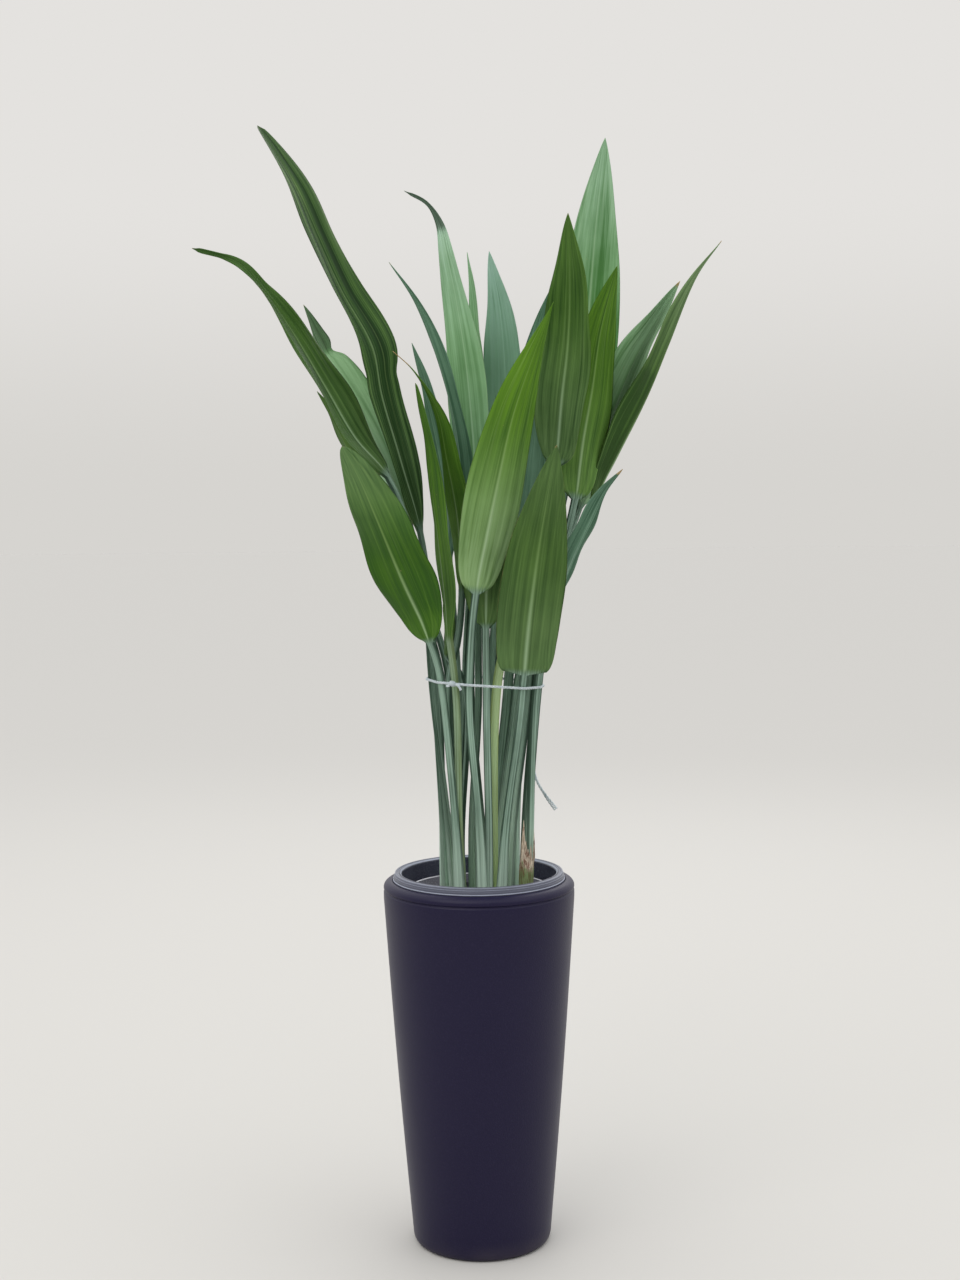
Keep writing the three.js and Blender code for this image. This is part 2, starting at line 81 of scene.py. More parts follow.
class Number(Wire):
    """A wire that carries one number."""

    def _maths(self, operation: str, *values: Value) -> "Number":
        """Adds a Math node.

        Args:
            operation: the Math node's operation.
            values: its inputs, in order.

        Returns:
            The result.
        """
        node = self.tree.node("ShaderNodeMath", {"operation": operation}, dict(enumerate(values)))
        return Number(self.tree, node.outputs[0])

    def __add__(self, other: Value) -> "Number":
        """self + other."""
        return self._maths("ADD", self, other)

    __radd__ = __add__

    def __sub__(self, other: Value) -> "Number":
        """self - other."""
        return self._maths("SUBTRACT", self, other)

    def __rsub__(self, other: Value) -> "Number":
        """other - self."""
        return self._maths("SUBTRACT", other, self)

    def __mul__(self, other: Value) -> "Number":
        """self * other."""
        return self._maths("MULTIPLY", self, other)

    __rmul__ = __mul__

    def __truediv__(self, other: Value) -> "Number":
        """self / other."""
        return self._maths("DIVIDE", self, other)

    def __pow__(self, other: Value) -> "Number":
        """self ** other."""
        return self._maths("POWER", self, other)

    def __abs__(self) -> "Number":
        """abs(self)."""
        return self._maths("ABSOLUTE", self)

    def sin(self) -> "Number":
        """The sine of self."""
        return self._maths("SINE", self)

    def cos(self) -> "Number":
        """The cosine of self."""
        return self._maths("COSINE", self)

    def bearing(self, x: Value) -> "Number":
        """The angle at which the point (x, self) lies round the origin."""
        return self._maths("ARCTAN2", self, x)

    def bell(self) -> "Number":
        """1 where self is 0, falling to 0 on both sides in a bell curve."""
        fall = self * self * -1.0
        return fall._maths("EXPONENT", fall)

    def least(self, other: Value) -> "Number":
        """The smaller of self and other."""
        return self._maths("MINIMUM", self, other)

    def most(self, other: Value) -> "Number":
        """The larger of self and other."""
        return self._maths("MAXIMUM", self, other)

    def above(self, other: Value) -> "Number":
        """1 where self is more than other, and 0 elsewhere."""
        return self._maths("GREATER_THAN", self, other)

    def ease(self, low: Value, high: Value) -> "Number":
        """0 below low and 1 above high, with a smooth rise between them.

        Args:
            low: where the rise starts.
            high: where it ends.

        Returns:
            The eased number.
        """
        values = {"Value": self, "From Min": low, "From Max": high}
        node = self.tree.node("ShaderNodeMapRange", {"interpolation_type": "SMOOTHSTEP"}, values)
        return Number(self.tree, node.outputs[0])

    def ramp(self, low: float, high: float) -> "Number":
        """0 below low and 1 above high, with a straight rise between them."""
        values = {"Value": self, "From Min": low, "From Max": high}
        return Number(self.tree, self.tree.node("ShaderNodeMapRange", {"clamp": True}, values).outputs[0])

    def blend(self, low: Value, high: Value) -> "Number":
        """low where self is 0, high where it is 1, and between them elsewhere."""
        values = {"Factor_Float": self, "A_Float": low, "B_Float": high}
        return Number(self.tree, self.tree.node("ShaderNodeMix", {"data_type": "FLOAT"}, values).outputs[0])

    def tint(self, low: Value, high: Value) -> "Arrow":
        """The colour low where self is 0 and the colour high where it is 1.

        Args:
            low: a colour.
            high: another colour.

        Returns:
            The mixed colour.
        """
        values = {"Factor_Float": self, "A_Color": low, "B_Color": high}
        node = self.tree.node("ShaderNodeMix", {"data_type": "RGBA"}, values)
        return Arrow(self.tree, next(o for o in node.outputs if o.identifier == "Result_Color"))


class Arrow(Wire):
    """A wire that carries a vector or a colour."""

    def _maths(self, operation: str, *values: Value) -> "Arrow":
        """Adds a Vector Math node with the given operation and inputs, and returns its vector."""
        node = self.tree.node("ShaderNodeVectorMath", {"operation": operation}, dict(enumerate(values)))
        return Arrow(self.tree, node.outputs["Vector"])

    def __add__(self, other: Value) -> "Arrow":
        """self + other."""
        return self._maths("ADD", self, other)

    def __sub__(self, other: Value) -> "Arrow":
        """self - other."""
        return self._maths("SUBTRACT", self, other)

    def __mul__(self, other: Value) -> "Arrow":
        """self times a number, or self times a vector, part by part.

        Args:
            other: the number or vector.

        Returns:
            The product.
        """
        if isinstance(other, (Number, int, float)):
            node = self.tree.node("ShaderNodeVectorMath", {"operation": "SCALE"}, {0: self, "Scale": other})
            return Arrow(self.tree, node.outputs["Vector"])
        return self._maths("MULTIPLY", self, other)

    def cross(self, other: Value) -> "Arrow":
        """The cross product of self and other."""
        return self._maths("CROSS_PRODUCT", self, other)

    def dot(self, other: Value) -> Number:
        """The dot product of self and other."""
        node = self.tree.node("ShaderNodeVectorMath", {"operation": "DOT_PRODUCT"}, {0: self, 1: other})
        return Number(self.tree, node.outputs["Value"])

    def unit(self) -> "Arrow":
        """self, one long."""
        return self._maths("NORMALIZE", self)

    def size(self) -> Number:
        """How long self is."""
        node = self.tree.node("ShaderNodeVectorMath", {"operation": "LENGTH"}, {0: self})
        return Number(self.tree, node.outputs["Value"])

    def parts(self) -> tuple[Number, Number, Number]:
        """The three numbers of self."""
        node = self.tree.node("ShaderNodeSeparateXYZ", NONE, {0: self})
        return tuple(Number(self.tree, node.outputs[i]) for i in range(3))


class Tree:
    """A node tree and the few ways in which this script adds to it."""

    def __init__(self, tree: bpy.types.NodeTree) -> None:
        """Wraps a node tree."""
        self.tree = tree

    @staticmethod
    def _socket(sockets: bpy.types.bpy_prop_collection, key: Union[str, int]) -> bpy.types.NodeSocket:
        """The socket with that place, identifier or name.

        Args:
            sockets: a node's inputs or outputs.
            key: the place, identifier or name.

        Returns:
            The socket.
        """
        if isinstance(key, int):
            return sockets[key]
        return next((s for s in sockets if s.identifier == key), None) or sockets[key]

    def node(self, kind: str, settings: Mapping = NONE, values: Mapping = NONE) -> bpy.types.Node:
        """Adds a node.

        Args:
            kind: the node's type.
            settings: its own settings, which are set first.
            values: the values or links of its sockets, by place, identifier or name.

        Returns:
            The node.
        """
        node = self.tree.nodes.new(kind)
        for name, setting in settings.items():
            setattr(node, name, setting)
        for key, value in values.items():
            self.feed(self._socket(node.inputs, key), value)
        return node

    def feed(self, socket: bpy.types.NodeSocket, value: Value) -> None:
        """Links a wire or socket to an input, or sets the input's own value.

        Args:
            socket: the input.
            value: the wire or socket to link, or the value to set.
        """
        if isinstance(value, (Wire, bpy.types.NodeSocket)):
            self.tree.links.new(getattr(value, "socket", value), socket)
        elif socket.type == "RGBA" and len(value) == 3:
            socket.default_value = (*value, 1.0)
        else:
            socket.default_value = value

    def number(self, node: bpy.types.Node, key: Union[str, int] = 0) -> Number:
        """A node's output as a number."""
        return Number(self, self._socket(node.outputs, key))

    def arrow(self, node: bpy.types.Node, key: Union[str, int] = 0) -> Arrow:
        """A node's output as a vector or colour."""
        return Arrow(self, self._socket(node.outputs, key))

    def vector(self, x: Value, y: Value, z: Value) -> Arrow:
        """A vector of three numbers."""
        return self.arrow(self.node("ShaderNodeCombineXYZ", NONE, {0: x, 1: y, 2: z}))

    def noise(self, place: Value, scale: float, detail: float = 2.0, roughness: float = 0.5) -> Number:
        """Noise from 0 to 1 at a place.

        Args:
            place: where it is read.
            scale: how many of its waves there are in a unit of place.
            detail: how many finer octaves it has.
            roughness: how strong those are.

        Returns:
            The noise.
        """
        values = {"Vector": place, "Scale": scale, "Detail": detail, "Roughness": roughness}
        return self.number(self.node("ShaderNodeTexNoise", NONE, values), "Fac")


class GrowthTree(Tree):
    """A Geometry Nodes tree with named inputs, which makes a mesh from the polyline it is given."""

    SOCKETS = {float: "NodeSocketFloat", int: "NodeSocketInt"}

    def __init__(self, name: str, inputs: Mapping[str, Union[float, int]]) -> None:
        """Makes the tree.

        Args:
            name: the tree's name.
            inputs: the first value of each named input, besides the geometry and the material.
        """
        super().__init__(bpy.data.node_groups.new(name, "GeometryNodeTree"))
        face = self.tree.interface
        face.new_socket("Geometry", in_out="INPUT", socket_type="NodeSocketGeometry")
        face.new_socket("Geometry", in_out="OUTPUT", socket_type="NodeSocketGeometry")
        for label, value in inputs.items():
            socket = face.new_socket(label, in_out="INPUT", socket_type=self.SOCKETS[type(value)])
            socket.default_value = value
        face.new_socket("Material", in_out="INPUT", socket_type="NodeSocketMaterial")
        self.entry = self.node("NodeGroupInput")

    def start(self) -> Wire:
        """The geometry that the tree starts from."""
        return Wire(self, self._socket(self.entry.outputs, "Geometry"))

    def given(self, label: str) -> Number:
        """A named input as a number."""
        return self.number(self.entry, label)

    def through(self, kind: str, geometry: Value, settings: Mapping = NONE, values: Mapping = NONE) -> Wire:
        """Passes a geometry through a node, and returns the node's first output."""
        node = self.node(kind, settings, {0: geometry, **values})
        return Wire(self, node.outputs[0])

    def keep(self, geometry: Value, name: str, value: Arrow) -> Wire:
        """Stores a vector on the points of a geometry under a name.

        Args:
            geometry: the geometry.
            name: the name that the vector is stored under.
            value: the vector.

        Returns:
            The geometry with its new attribute.
        """
        settings = {"data_type": "FLOAT_VECTOR", "domain": "POINT"}
        values = {"Name": name, "Value": value}
        return self.through("GeometryNodeStoreNamedAttribute", geometry, settings, values)

    def move(self, geometry: Value, **values: Arrow) -> Wire:
        """Moves the points of a geometry to a Position, or by an Offset."""
        return self.through("GeometryNodeSetPosition", geometry, NONE, values)

    def end(self, geometry: Value) -> None:
        """Closes the tree with real instances, smooth faces and the given material.

        Args:
            geometry: the finished geometry.
        """
        real = self.through("GeometryNodeRealizeInstances", geometry)
        smooth = self.through("GeometryNodeSetShadeSmooth", real)
        material = self._socket(self.entry.outputs, "Material")
        dressed = self.through("GeometryNodeSetMaterial", smooth, NONE, {"Material": material})
        self.node("NodeGroupOutput", NONE, {0: dressed})

    def grow(self, name: str, seed_mesh: bpy.types.Mesh, material: bpy.types.Material,
             sizes: Mapping[str, Union[float, int]]) -> bpy.types.Object:
        """Runs the tree on a mesh and keeps the result as a plain mesh object.

        Args:
            name: the name of the new piece.
            seed_mesh: what the tree starts from.
            material: what the piece is made of.
            sizes: the values of the named inputs.

        Returns:
            The new object, with no modifier.
        """
        start = in_scene(name + "_start", seed_mesh)
        modifier = start.modifiers.new("growth", "NODES")
        modifier.node_group = self.tree
        wanted = {**sizes, "Material": material}
        for item in self.tree.interface.items_tree:
            if item.in_out == "INPUT" and item.name in wanted:
                modifier[item.identifier] = wanted.pop(item.name)
        if wanted:
            raise KeyError(f"{self.tree.name} has no input named {sorted(wanted)}")
        bpy.context.view_layer.update()
        grown = start.evaluated_get(bpy.context.evaluated_depsgraph_get())
        mesh = bpy.data.meshes.new_from_object(grown)
        mesh.name = name
        start.modifiers.remove(modifier)
        bpy.data.objects.remove(start)
        return in_scene(name, mesh)


def in_scene(name: str, data: bpy.types.ID) -> bpy.types.Object:
    """Makes an object of a mesh, camera or lamp, and puts it in the scene.

    Args:
        name: the object's name.
        data: the mesh, camera or lamp.

    Returns:
        The object.
    """
    thing = bpy.data.objects.new(name, data)
    bpy.context.collection.objects.link(thing)
    return thing


def polyline(name: str, points: Sequence[Sequence[float]], closed: bool = False) -> bpy.types.Mesh:
    """A mesh of points joined in order.

    Args:
        name: the mesh's name.
        points: the points, in metres.
        closed: whether the last joins the first.

    Returns:
        The mesh.
    """
    mesh = bpy.data.meshes.new(name)
    count = len(points)
    edges = [(i, (i + 1) % count) for i in range(count if closed else count - 1)]
    mesh.from_pydata([tuple(point) for point in points], edges, [])
    return mesh


def outline(name: str, profile: Sequence[tuple[float, float]]) -> bpy.types.Mesh:
    """A polyline along a profile's radii and heights, which are in millimetres."""
    return polyline(name, [(radius * MM, 0, height * MM) for radius, height in profile])


def smooth_path(points: Sequence[Sequence[float]], steps: int = 40) -> np.ndarray:
    """A centripetal Catmull-Rom curve through points, as in the solids.

    Args:
        points: the points that it passes through.
        steps: how many pieces each span is cut into.

    Returns:
        The points of the curve, one row each.
    """
    knots = np.array(points, float)
    knots = np.vstack([2 * knots[0] - knots[1], knots, 2 * knots[-1] - knots[-2]])
    gaps = np.sqrt(np.linalg.norm(np.diff(knots, axis=0), axis=1))
    t = np.linspace(0, 1, steps, endpoint=False)[:, None]
    rows = []
    for i in range(1, len(knots) - 2):
        before, here, after, beyond = knots[i - 1:i + 3]
        d0, d1, d2 = gaps[i - 1:i + 2]
        leave = ((here - before) / d0 - (after - before) / (d0 + d1) + (after - here) / d1) * d1
        reach = ((after - here) / d1 - (beyond - here) / (d1 + d2) + (beyond - after) / d2) * d1
        rise = after - here
        square, cube = 3 * rise - 2 * leave - reach, leave + reach - 2 * rise
        rows.append(here + leave * t + square * t ** 2 + cube * t ** 3)
    return np.vstack([*rows, knots[-2:-1]])


# ------------------------------------------------------------------ finishes


class Coating(Tree):
    """A material's node tree with one Principled shader."""

    def __init__(self, name: str, **fixed: float) -> None:
        """Makes the material.

        Args:
            name: the material's name.
            fixed: numbers that are the same all over, by socket name, with _ for a space.
        """
        self.material = bpy.data.materials.new(name)
        self.material.use_nodes = True
        super().__init__(self.material.node_tree)
        self.shader = next(n for n in self.tree.nodes if n.type == "BSDF_PRINCIPLED")
        for label, value in fixed.items():
            self.shader.inputs[label.replace("_", " ")].default_value = value

    def object_place(self) -> Arrow:
        """The place on the piece, in metres."""
        return self.arrow(self.node("ShaderNodeTexCoord"), "Object")

    def attribute(self, name: str) -> Arrow:
        """A vector that the mesh carries under a name."""
        return self.arrow(self.node("ShaderNodeAttribute", {"attribute_name": name}), "Vector")

    def bump(self, height: Value, distance: float, strength: float = 1.0) -> Arrow:
        """A bumped normal.

        Args:
            height: the height, from 0 to 1.
            distance: what 1 stands for, in metres.
            strength: the share of it that shows.

        Returns:
            The normal.
        """
        values = {"Height": height, "Distance": distance, "Strength": strength}
        return self.arrow(self.node("ShaderNodeBump", NONE, values))

    def wear(self, colour: Value, roughness: Value, normal: Value) -> bpy.types.Material:
        """Feeds the shader what changes over the surface.

        Args:
            colour: the base colour.
            roughness: the roughness.
            normal: the normal.

        Returns:
            The material.
        """
        for label, value in (("Base Color", colour), ("Roughness", roughness), ("Normal", normal)):
            self.feed(self.shader.inputs[label], value)
        return self.material


FOLDS_ACROSS = 5.5
FOLDS_ALONG = 0.9


def pleats(tree: Tree, across: Number, along: Number, seed: Value) -> Number:
    """The long uneven folds of a blade, from 0 to 1, which its shape and its colour share: the colour is
    lighter where they rise and darker where they sink, as painted light and shade.

    Args:
        tree: the tree that they are worked out in.
        across: the place across the blade, from -1 to 1.
        along: the place along it, from 0 to 1.
        seed: tells the leaves apart.

    Returns:
        The height of the folds.
    """
    place = tree.vector(across * FOLDS_ACROSS, along * FOLDS_ALONG, seed)
    return tree.noise(place, 1.0, 1.0).ramp(0.3, 0.7)


class LeafCoat(Coating):
    """A leaf's coating, with the marks that each leaf carries on its points."""

    def __init__(self, name: str, **fixed: float) -> None:
        """Makes the material and reads the marks.

        Args:
            name: the material's name.
            fixed: numbers that are the same all over, by socket name, with _ for a space.
        """
        super().__init__(name, **fixed)
        self.along, self.across, self.upper = self.attribute("leaf_share").parts()
        self.metres_along, self.metres_across, self.seed = self.attribute("leaf_metres").parts()
        # the tone carries the leaf's lightness together with the painted shade of its crease, curled tip
        # and folded side
        self.dry_tip, self.tone, self.dry_edge = self.attribute("leaf_traits").parts()
        self.young, self.streaks, self.bloom_and_sheen = self.attribute("leaf_habit").parts()
        self.away = abs(self.across)
        self.blade = self.along.ease(-0.01, 0.03)

    def grain(self, across: float, along: float, detail: float, shift: float = 0.0) -> Number:
        """Noise in streaks that follow the leaf.

        Args:
            across: how many waves it has in a metre across the leaf.
            along: how many it has in a metre along it.
            detail: how many finer octaves it has.
            shift: tells one pattern from another.

        Returns:
            The noise, from 0 to 1.
        """
        place = self.vector(self.metres_across * across, self.metres_along * along, self.seed + shift)
        return self.noise(place, 1.0, detail)


@dataclass(frozen=True)
class LeafFinish:
    """The skin of a leaf: a ribbed blade, its pale midrib, and a bluish channelled stalk."""

    name: str
    deep: Colour
    light: Colour
    rib: Colour
    # the pale wax colour, also used as painted sheen of the sky
    bloom_and_sheen: Colour = srgb(166, 194, 154)
    stalk: Colour = srgb(150, 178, 160)
    # the stalk's dark green, which also paints the shade in its grooves and at its sides
    stalk_deep: Colour = srgb(62, 84, 70)
    sheath: Colour = srgb(200, 226, 206)
    young: Colour = srgb(212, 238, 148)
    dry: Colour = srgb(132, 104, 66)
    dry_light: Colour = srgb(190, 168, 122)
    gloss: float = 0.5
    specular: float = 0.12
    rib_strength: float = 0.7
    vein_gap: float = 0.0017
    relief: float = 0.00018

    def material(self) -> bpy.types.Material:
        """Builds the material from the marks that each leaf carries.

        Returns:
            The material.
        """
        coat = LeafCoat(self.name, Specular_IOR_Level=self.specular)
        fine = coat.grain(380.0, 5.0, 2.0)
        cloudy = coat.grain(22.0, 12.0, 3.0, 7.0)
        grooves = coat.grain(480.0, 4.0, 2.0)
        ragged = coat.grain(300.0, 120.0, 3.0)
        veins = (coat.metres_across * (2 * math.pi / self.vein_gap)).sin() * 0.5 + 0.5
        stem = 1.0 - coat.blade
        skin = coat.blade.tint(self._stalk(coat, grooves, cloudy), self._blade(coat, fine, cloudy))

        # the dry tip and margin
        tip = (coat.along - (1.0 - coat.dry_tip) + (ragged - 0.5) * 0.05).ease(0.0, 0.03)
        margin = (coat.away + (ragged - 0.5) * 0.03).ease(0.985, 1.0) * coat.dry_edge * coat.blade
        skin = tip.most(margin).tint(skin, ragged.ramp(0.3, 0.7).tint(self.dry, self.dry_light))

        roughness = self.gloss + (cloudy - 0.5) * 0.2 + stem * 0.16 + tip * 0.25 + (1.0 - coat.upper) * 0.08
        relief = (veins * 0.4 + fine * 0.6) * coat.blade + grooves * stem
        relief = relief * (1.0 - coat.away.ease(0.7, 1.0) * 0.8)
        return coat.wear(skin, roughness, coat.bump(relief, self.relief, 0.6))

    def _blade(self, coat: LeafCoat, fine: Number, cloudy: Number) -> Arrow:
        """The blade's green, from its streaks and painted shade to its midrib, its wax with painted sheen,
        and flecks.

        Args:
            coat: the leaf's coating.
            fine: the fine streaks.
            cloudy: the broad patches.

        Returns:
            The colour.
        """
        along, across, streaks = coat.along, coat.across, coat.streaks
        folds = pleats(coat, across, along, coat.seed)
        # the green: fine streaks, the folds painted lighter where they rise and darker where they sink as
        # painted light and shade, broad patches, and the leaf's tone with its painted shade
        shade = (fine - 0.5) * 0.85 + (folds - 0.5) * streaks + (cloudy - 0.5) * 0.9 + coat.tone + 0.45
        green = shade.ramp(0.0, 1.0).tint(self.deep, self.light)

        # a few thin pale lines, and the midrib, which narrows towards the tip
        level = coat.noise(coat.vector(across * 9.0, along * 0.6, coat.seed + 11.0), 1.0, 0.0)
        line = (1.0 - abs(level - 0.5) * 26.0).most(0.0) * (streaks * 0.38)
        from_rib = coat.away / ((1.0 - along).most(0.0) * 0.055 + 0.012)
        midrib = from_rib.bell() * (1.0 - along * 0.7) * self.rib_strength
        green = (midrib.most(line) * coat.blade).tint(green, self.rib)

        # the pale wax, partly painted sheen; over it a further darkening wherever the shade is below 0,
        # mostly the painted shade of sinking folds, twisted creases, curled tips and turned-away halves;
        # and the midrib's paler heel
        wax = 0.7 + (cloudy - 0.5) * 0.9 + (folds - 0.5) * streaks * 0.8 + (fine - 0.5) * 0.8
        wax_and_sheen = (coat.bloom_and_sheen * wax * coat.blade).ramp(0.0, 1.0)
        green = wax_and_sheen.tint(green, self.bloom_and_sheen) * (1.0 + shade.least(0.0) * 0.7).most(0.3)
        green = (midrib * (1.0 - along.ease(0.1, 0.6)) * coat.blade * 0.4).tint(green, self.sheath)
        green = ((1.0 - coat.upper) * 0.08).tint(green, self.rib)
        flecks = coat.grain(420.0, 130.0, 1.0, 3.0)
        return (flecks.ease(0.80, 0.84) * 0.5).tint(green, self.dry_light)

    def _stalk(self, coat: LeafCoat, grooves: Number, cloudy: Number) -> Arrow:
        """The stalk's grey green, paler in its sheathing foot and yellower where it is young, with painted
        shade that darkens it in its grooves and towards its sides.

        Args:
            coat: the leaf's coating.
            grooves: the streaks along the stalk.
            cloudy: the broad patches.

        Returns:
            The colour.
        """
        # painted shade: darker towards the stalk's sides, where it rounds away from the light, and in the
        # grooves between the ridges that its bump raises
        side = coat.away.ease(0.55, 1.0) * 0.45
        stem = (grooves * 1.6 + cloudy * 0.5 - side).ramp(0.7, 1.25).tint(self.stalk_deep, self.stalk)
        low = 1.0 - coat.along.ease(-1.0, -0.6)
        stem = (low * (grooves * 1.3 + 0.3 - side)).ramp(0.0, 1.0).tint(stem, self.sheath)
        return (coat.young * (grooves * 0.5 + 0.6) * (0.5 + low * 0.5)).least(0.9).tint(stem, self.young)


@dataclass(frozen=True)
class MouldedPlastic:
    """A moulded plastic with a fine pebbled skin, faint scuffs, a little dust, and pale rings above a
    height.

    Lengths are in metres, and a ring has a radius, half a width and a strength. On the liner the rings are
    painted highlights along the edges of its collar's steps and mouth and a faint painted sheen across its
    top; on the grower's pot one pale ring lies on its rim.
    """

    name: str
    colour: Colour
    scuff_and_ring_colour: Colour
    roughness: float
    dusty: Colour = srgb(150, 140, 128)
    pebble: float = 0.00018
    dust_height: float = 0.03
    specular: float = 0.25
    pale_above: float = 1.0
    pale_rings: Sequence[tuple[float, float, float]] = ()

    def material(self) -> bpy.types.Material:
        """Builds the material.

        Returns:
            The material.
        """
        coat = Coating(self.name, Specular_IOR_Level=self.specular)
        place = coat.object_place()
        height = place.parts()[2]
        mottle = coat.noise(place, 9.0, 3.0)
        speck = coat.noise(place, 520.0, 2.0)
        scuff = coat.noise(place * (1.0, 1.0, 7.0), 60.0, 4.0, 0.7)
        dust = (1.0 - height.ease(0.0, self.dust_height)) * mottle.ramp(0.35, 0.75) * 0.12
        wear_and_pale_rings = scuff.ramp(0.66, 0.82) * 0.25 + speck.ramp(0.5, 0.75) * 0.14 + mottle * 0.12
        from_middle = (place * (1.0, 1.0, 0.0)).size()
        high = height.ease(self.pale_above, self.pale_above + 0.001)
        # pale rings above a height: painted highlights and sheen on the liner's collar, a pale ring on the
        # grower's pot rim
        for radius, half_width, strength in self.pale_rings:
            ring = 1.0 - abs(from_middle - radius).ease(half_width * 0.5, half_width * 1.5)
            wear_and_pale_rings = wear_and_pale_rings.most(ring * high * (scuff * 0.6 + 0.7) * strength)
        colour = dust.tint(wear_and_pale_rings.tint(self.colour, self.scuff_and_ring_colour), self.dusty)
        roughness = self.roughness + (mottle - 0.5) * 0.12 + wear_and_pale_rings * 0.25 + dust * 0.5
        return coat.wear(colour, roughness, coat.bump(speck, self.pebble))


@dataclass(frozen=True)
class PottingMix:
    """Damp peat and bark."""

    name: str = "potting_mix"
    dark: Colour = srgb(34, 25, 19)
    light: Colour = srgb(92, 70, 50)

    def material(self) -> bpy.types.Material:
        """Builds the material.

        Returns:
            The material.
        """
        coat = Coating(self.name, Specular_IOR_Level=0.25)
        place = coat.object_place()
        lumps = coat.noise(place, 160.0, 4.0, 0.7)
        grain = coat.noise(place, 900.0, 2.0)
        colour = (lumps * 0.7 + grain * 0.4).ramp(0.35, 0.85).tint(self.dark, self.light)
        return coat.wear(colour, 0.92 - lumps * 0.1, coat.bump(lumps + grain * 0.4, 0.0025))


@dataclass(frozen=True)
class Twine:
    """Pale split-film string."""

    name: str = "pale_string"
    light: Colour = srgb(222, 230, 232)
    dark: Colour = srgb(150, 166, 174)

    def material(self) -> bpy.types.Material:
        """Builds the material.

        Returns:
            The material.
        """
        coat = Coating(self.name, Specular_IOR_Level=0.5)
        place = coat.object_place()
        fibres = coat.noise(place * (1.0, 1.0, 0.25), 2600.0, 3.0, 0.6)
        patches = coat.noise(place, 130.0, 2.0)
        colour = (fibres * 0.6 + patches * 0.5).ramp(0.3, 0.75).tint(self.dark, self.light)
        return coat.wear(colour, 0.42 + fibres * 0.2, coat.bump(fibres, 0.0002))


@dataclass(frozen=True)
class DryScale:
    """A dead papery sheath, green and brown at its foot and bleached above, with dark torn edges."""

    name: str = "dry_scale"
    bleached: Colour = srgb(226, 212, 190)
    brown: Colour = srgb(104, 76, 54)
    pink: Colour = srgb(196, 148, 132)
    foot: Colour = srgb(118, 150, 92)

    def material(self) -> bpy.types.Material:
        """Builds the material from where each point is across and up the scale.

        Returns:
            The material.
        """
        coat = Coating(self.name, Specular_IOR_Level=0.25)
        place = coat.object_place()
        across, up, _ = coat.attribute("scale_share").parts()
        fibres = coat.noise(place * (1.0, 1.0, 0.06), 1100.0, 3.0, 0.6)
        blotch = coat.noise(place * (1.0, 1.0, 0.5), 150.0, 4.0, 0.65)
        colour = fibres.ramp(0.35, 0.6).tint(self.brown, self.bleached)
        colour = (blotch.ramp(0.5, 0.66) * 0.8).tint(colour, self.pink)
        stain = blotch.ramp(0.54, 0.60) + (1.0 - across.ease(0.0, 0.25)) * up.ease(0.45, 0.9)
        colour = (stain.least(1.0) * 0.75).tint(colour, self.brown)
        green = (1.0 - (up + (blotch - 0.5) * 0.5).ease(0.5, 0.66)) * 0.9
        colour = green.tint(colour, fibres.ramp(0.3, 0.6).tint(self.brown, self.foot))
        return coat.wear(colour, 0.75 + fibres * 0.15, coat.bump(fibres + blotch * 0.4, 0.0008))


class Tone(Enum):
    """The greens that the leaves of one clump have. BLUE and PALE, worn mostly by the leaves at the back,
    are paler and bluer partly as painted sheen of the sky on blades that tilt back.
    """

    FRESH = LeafFinish("leaf_fresh", srgb(24, 74, 0), srgb(86, 132, 20), srgb(150, 184, 104))
    DEEP = LeafFinish("leaf_deep", srgb(28, 64, 14), srgb(80, 116, 46), srgb(134, 166, 100))
    BLUE = LeafFinish("leaf_blue", srgb(42, 82, 56), srgb(116, 154, 128), srgb(150, 186, 162),
                      bloom_and_sheen=srgb(166, 200, 186))
    PALE = LeafFinish("leaf_pale", srgb(66, 120, 52), srgb(146, 192, 138), srgb(180, 214, 170),
                      bloom_and_sheen=srgb(186, 218, 196))


# ------------------------------------------------------------------ leaves


@dataclass(frozen=True)
class Leaf:
    """One leaf, as in the solids, and what only its looks need. Millimetres, degrees and shares.

    foot, tie, stalk and rib are the places that it passes through, from the soil to its tip. turn is the
    heading of its flat side at the heel and at the tip. A heel or point below 1 is blunt, and above 1 it
    is sharp. shade lightens the blade, or darkens it below 0, and heel_shade, tip_shade and side_shade do
    so before the crease, past it and across, as painted shade: the darker part where a blade twists at
    its crease or curls at its tip, and the half of a folded blade that faces away from the light.
    heel_narrow and pinch narrow the blade below and at the crease, curl turns its tip further, gather moves
    its foot, and bloom is the wax at its heel and tip, partly painted sheen of the sky.
    young yellows the stalk, streaks is how far the folds show in the colour, as painted light where they
    rise and painted shade where they sink, and how strong the pale lines are, and ribbon is the width of
    the thin end of the blade.
    """

    foot: tuple[float, float]
    sheath: float
    tie: tuple[float, float]
    stalk: Sequence[Point]
    rib: Sequence[Point]
    width: float
    turn: tuple[float, float]
    fold: float
    wave: float
    heel: float
    point: float
    tone: Tone
    pleat: float = 1.2
    shade: float = 0.0
    crease: float = 0.38
    # painted shade of a twisted crease, a curled tip and a folded side
    heel_shade: float = 0.0
    tip_shade: float = 0.0
    side_shade: float = 0.0
    heel_narrow: float = 1.0
    pinch: float = 0.0
    curl: float = 0.0
    gather: tuple[float, float] = (0.0, 0.0)
    # pale wax at the heel and tip, partly painted sheen of the sky
    bloom_and_sheen: tuple[float, float] = (0.12, 0.05)
    stalk_width: float = 9.8
    streaks: float = 0.5
    young: float = 0.0
    ribbon: float = 0.5
    dry_tip: float = 0.01
    dry_edge: float = 0.1


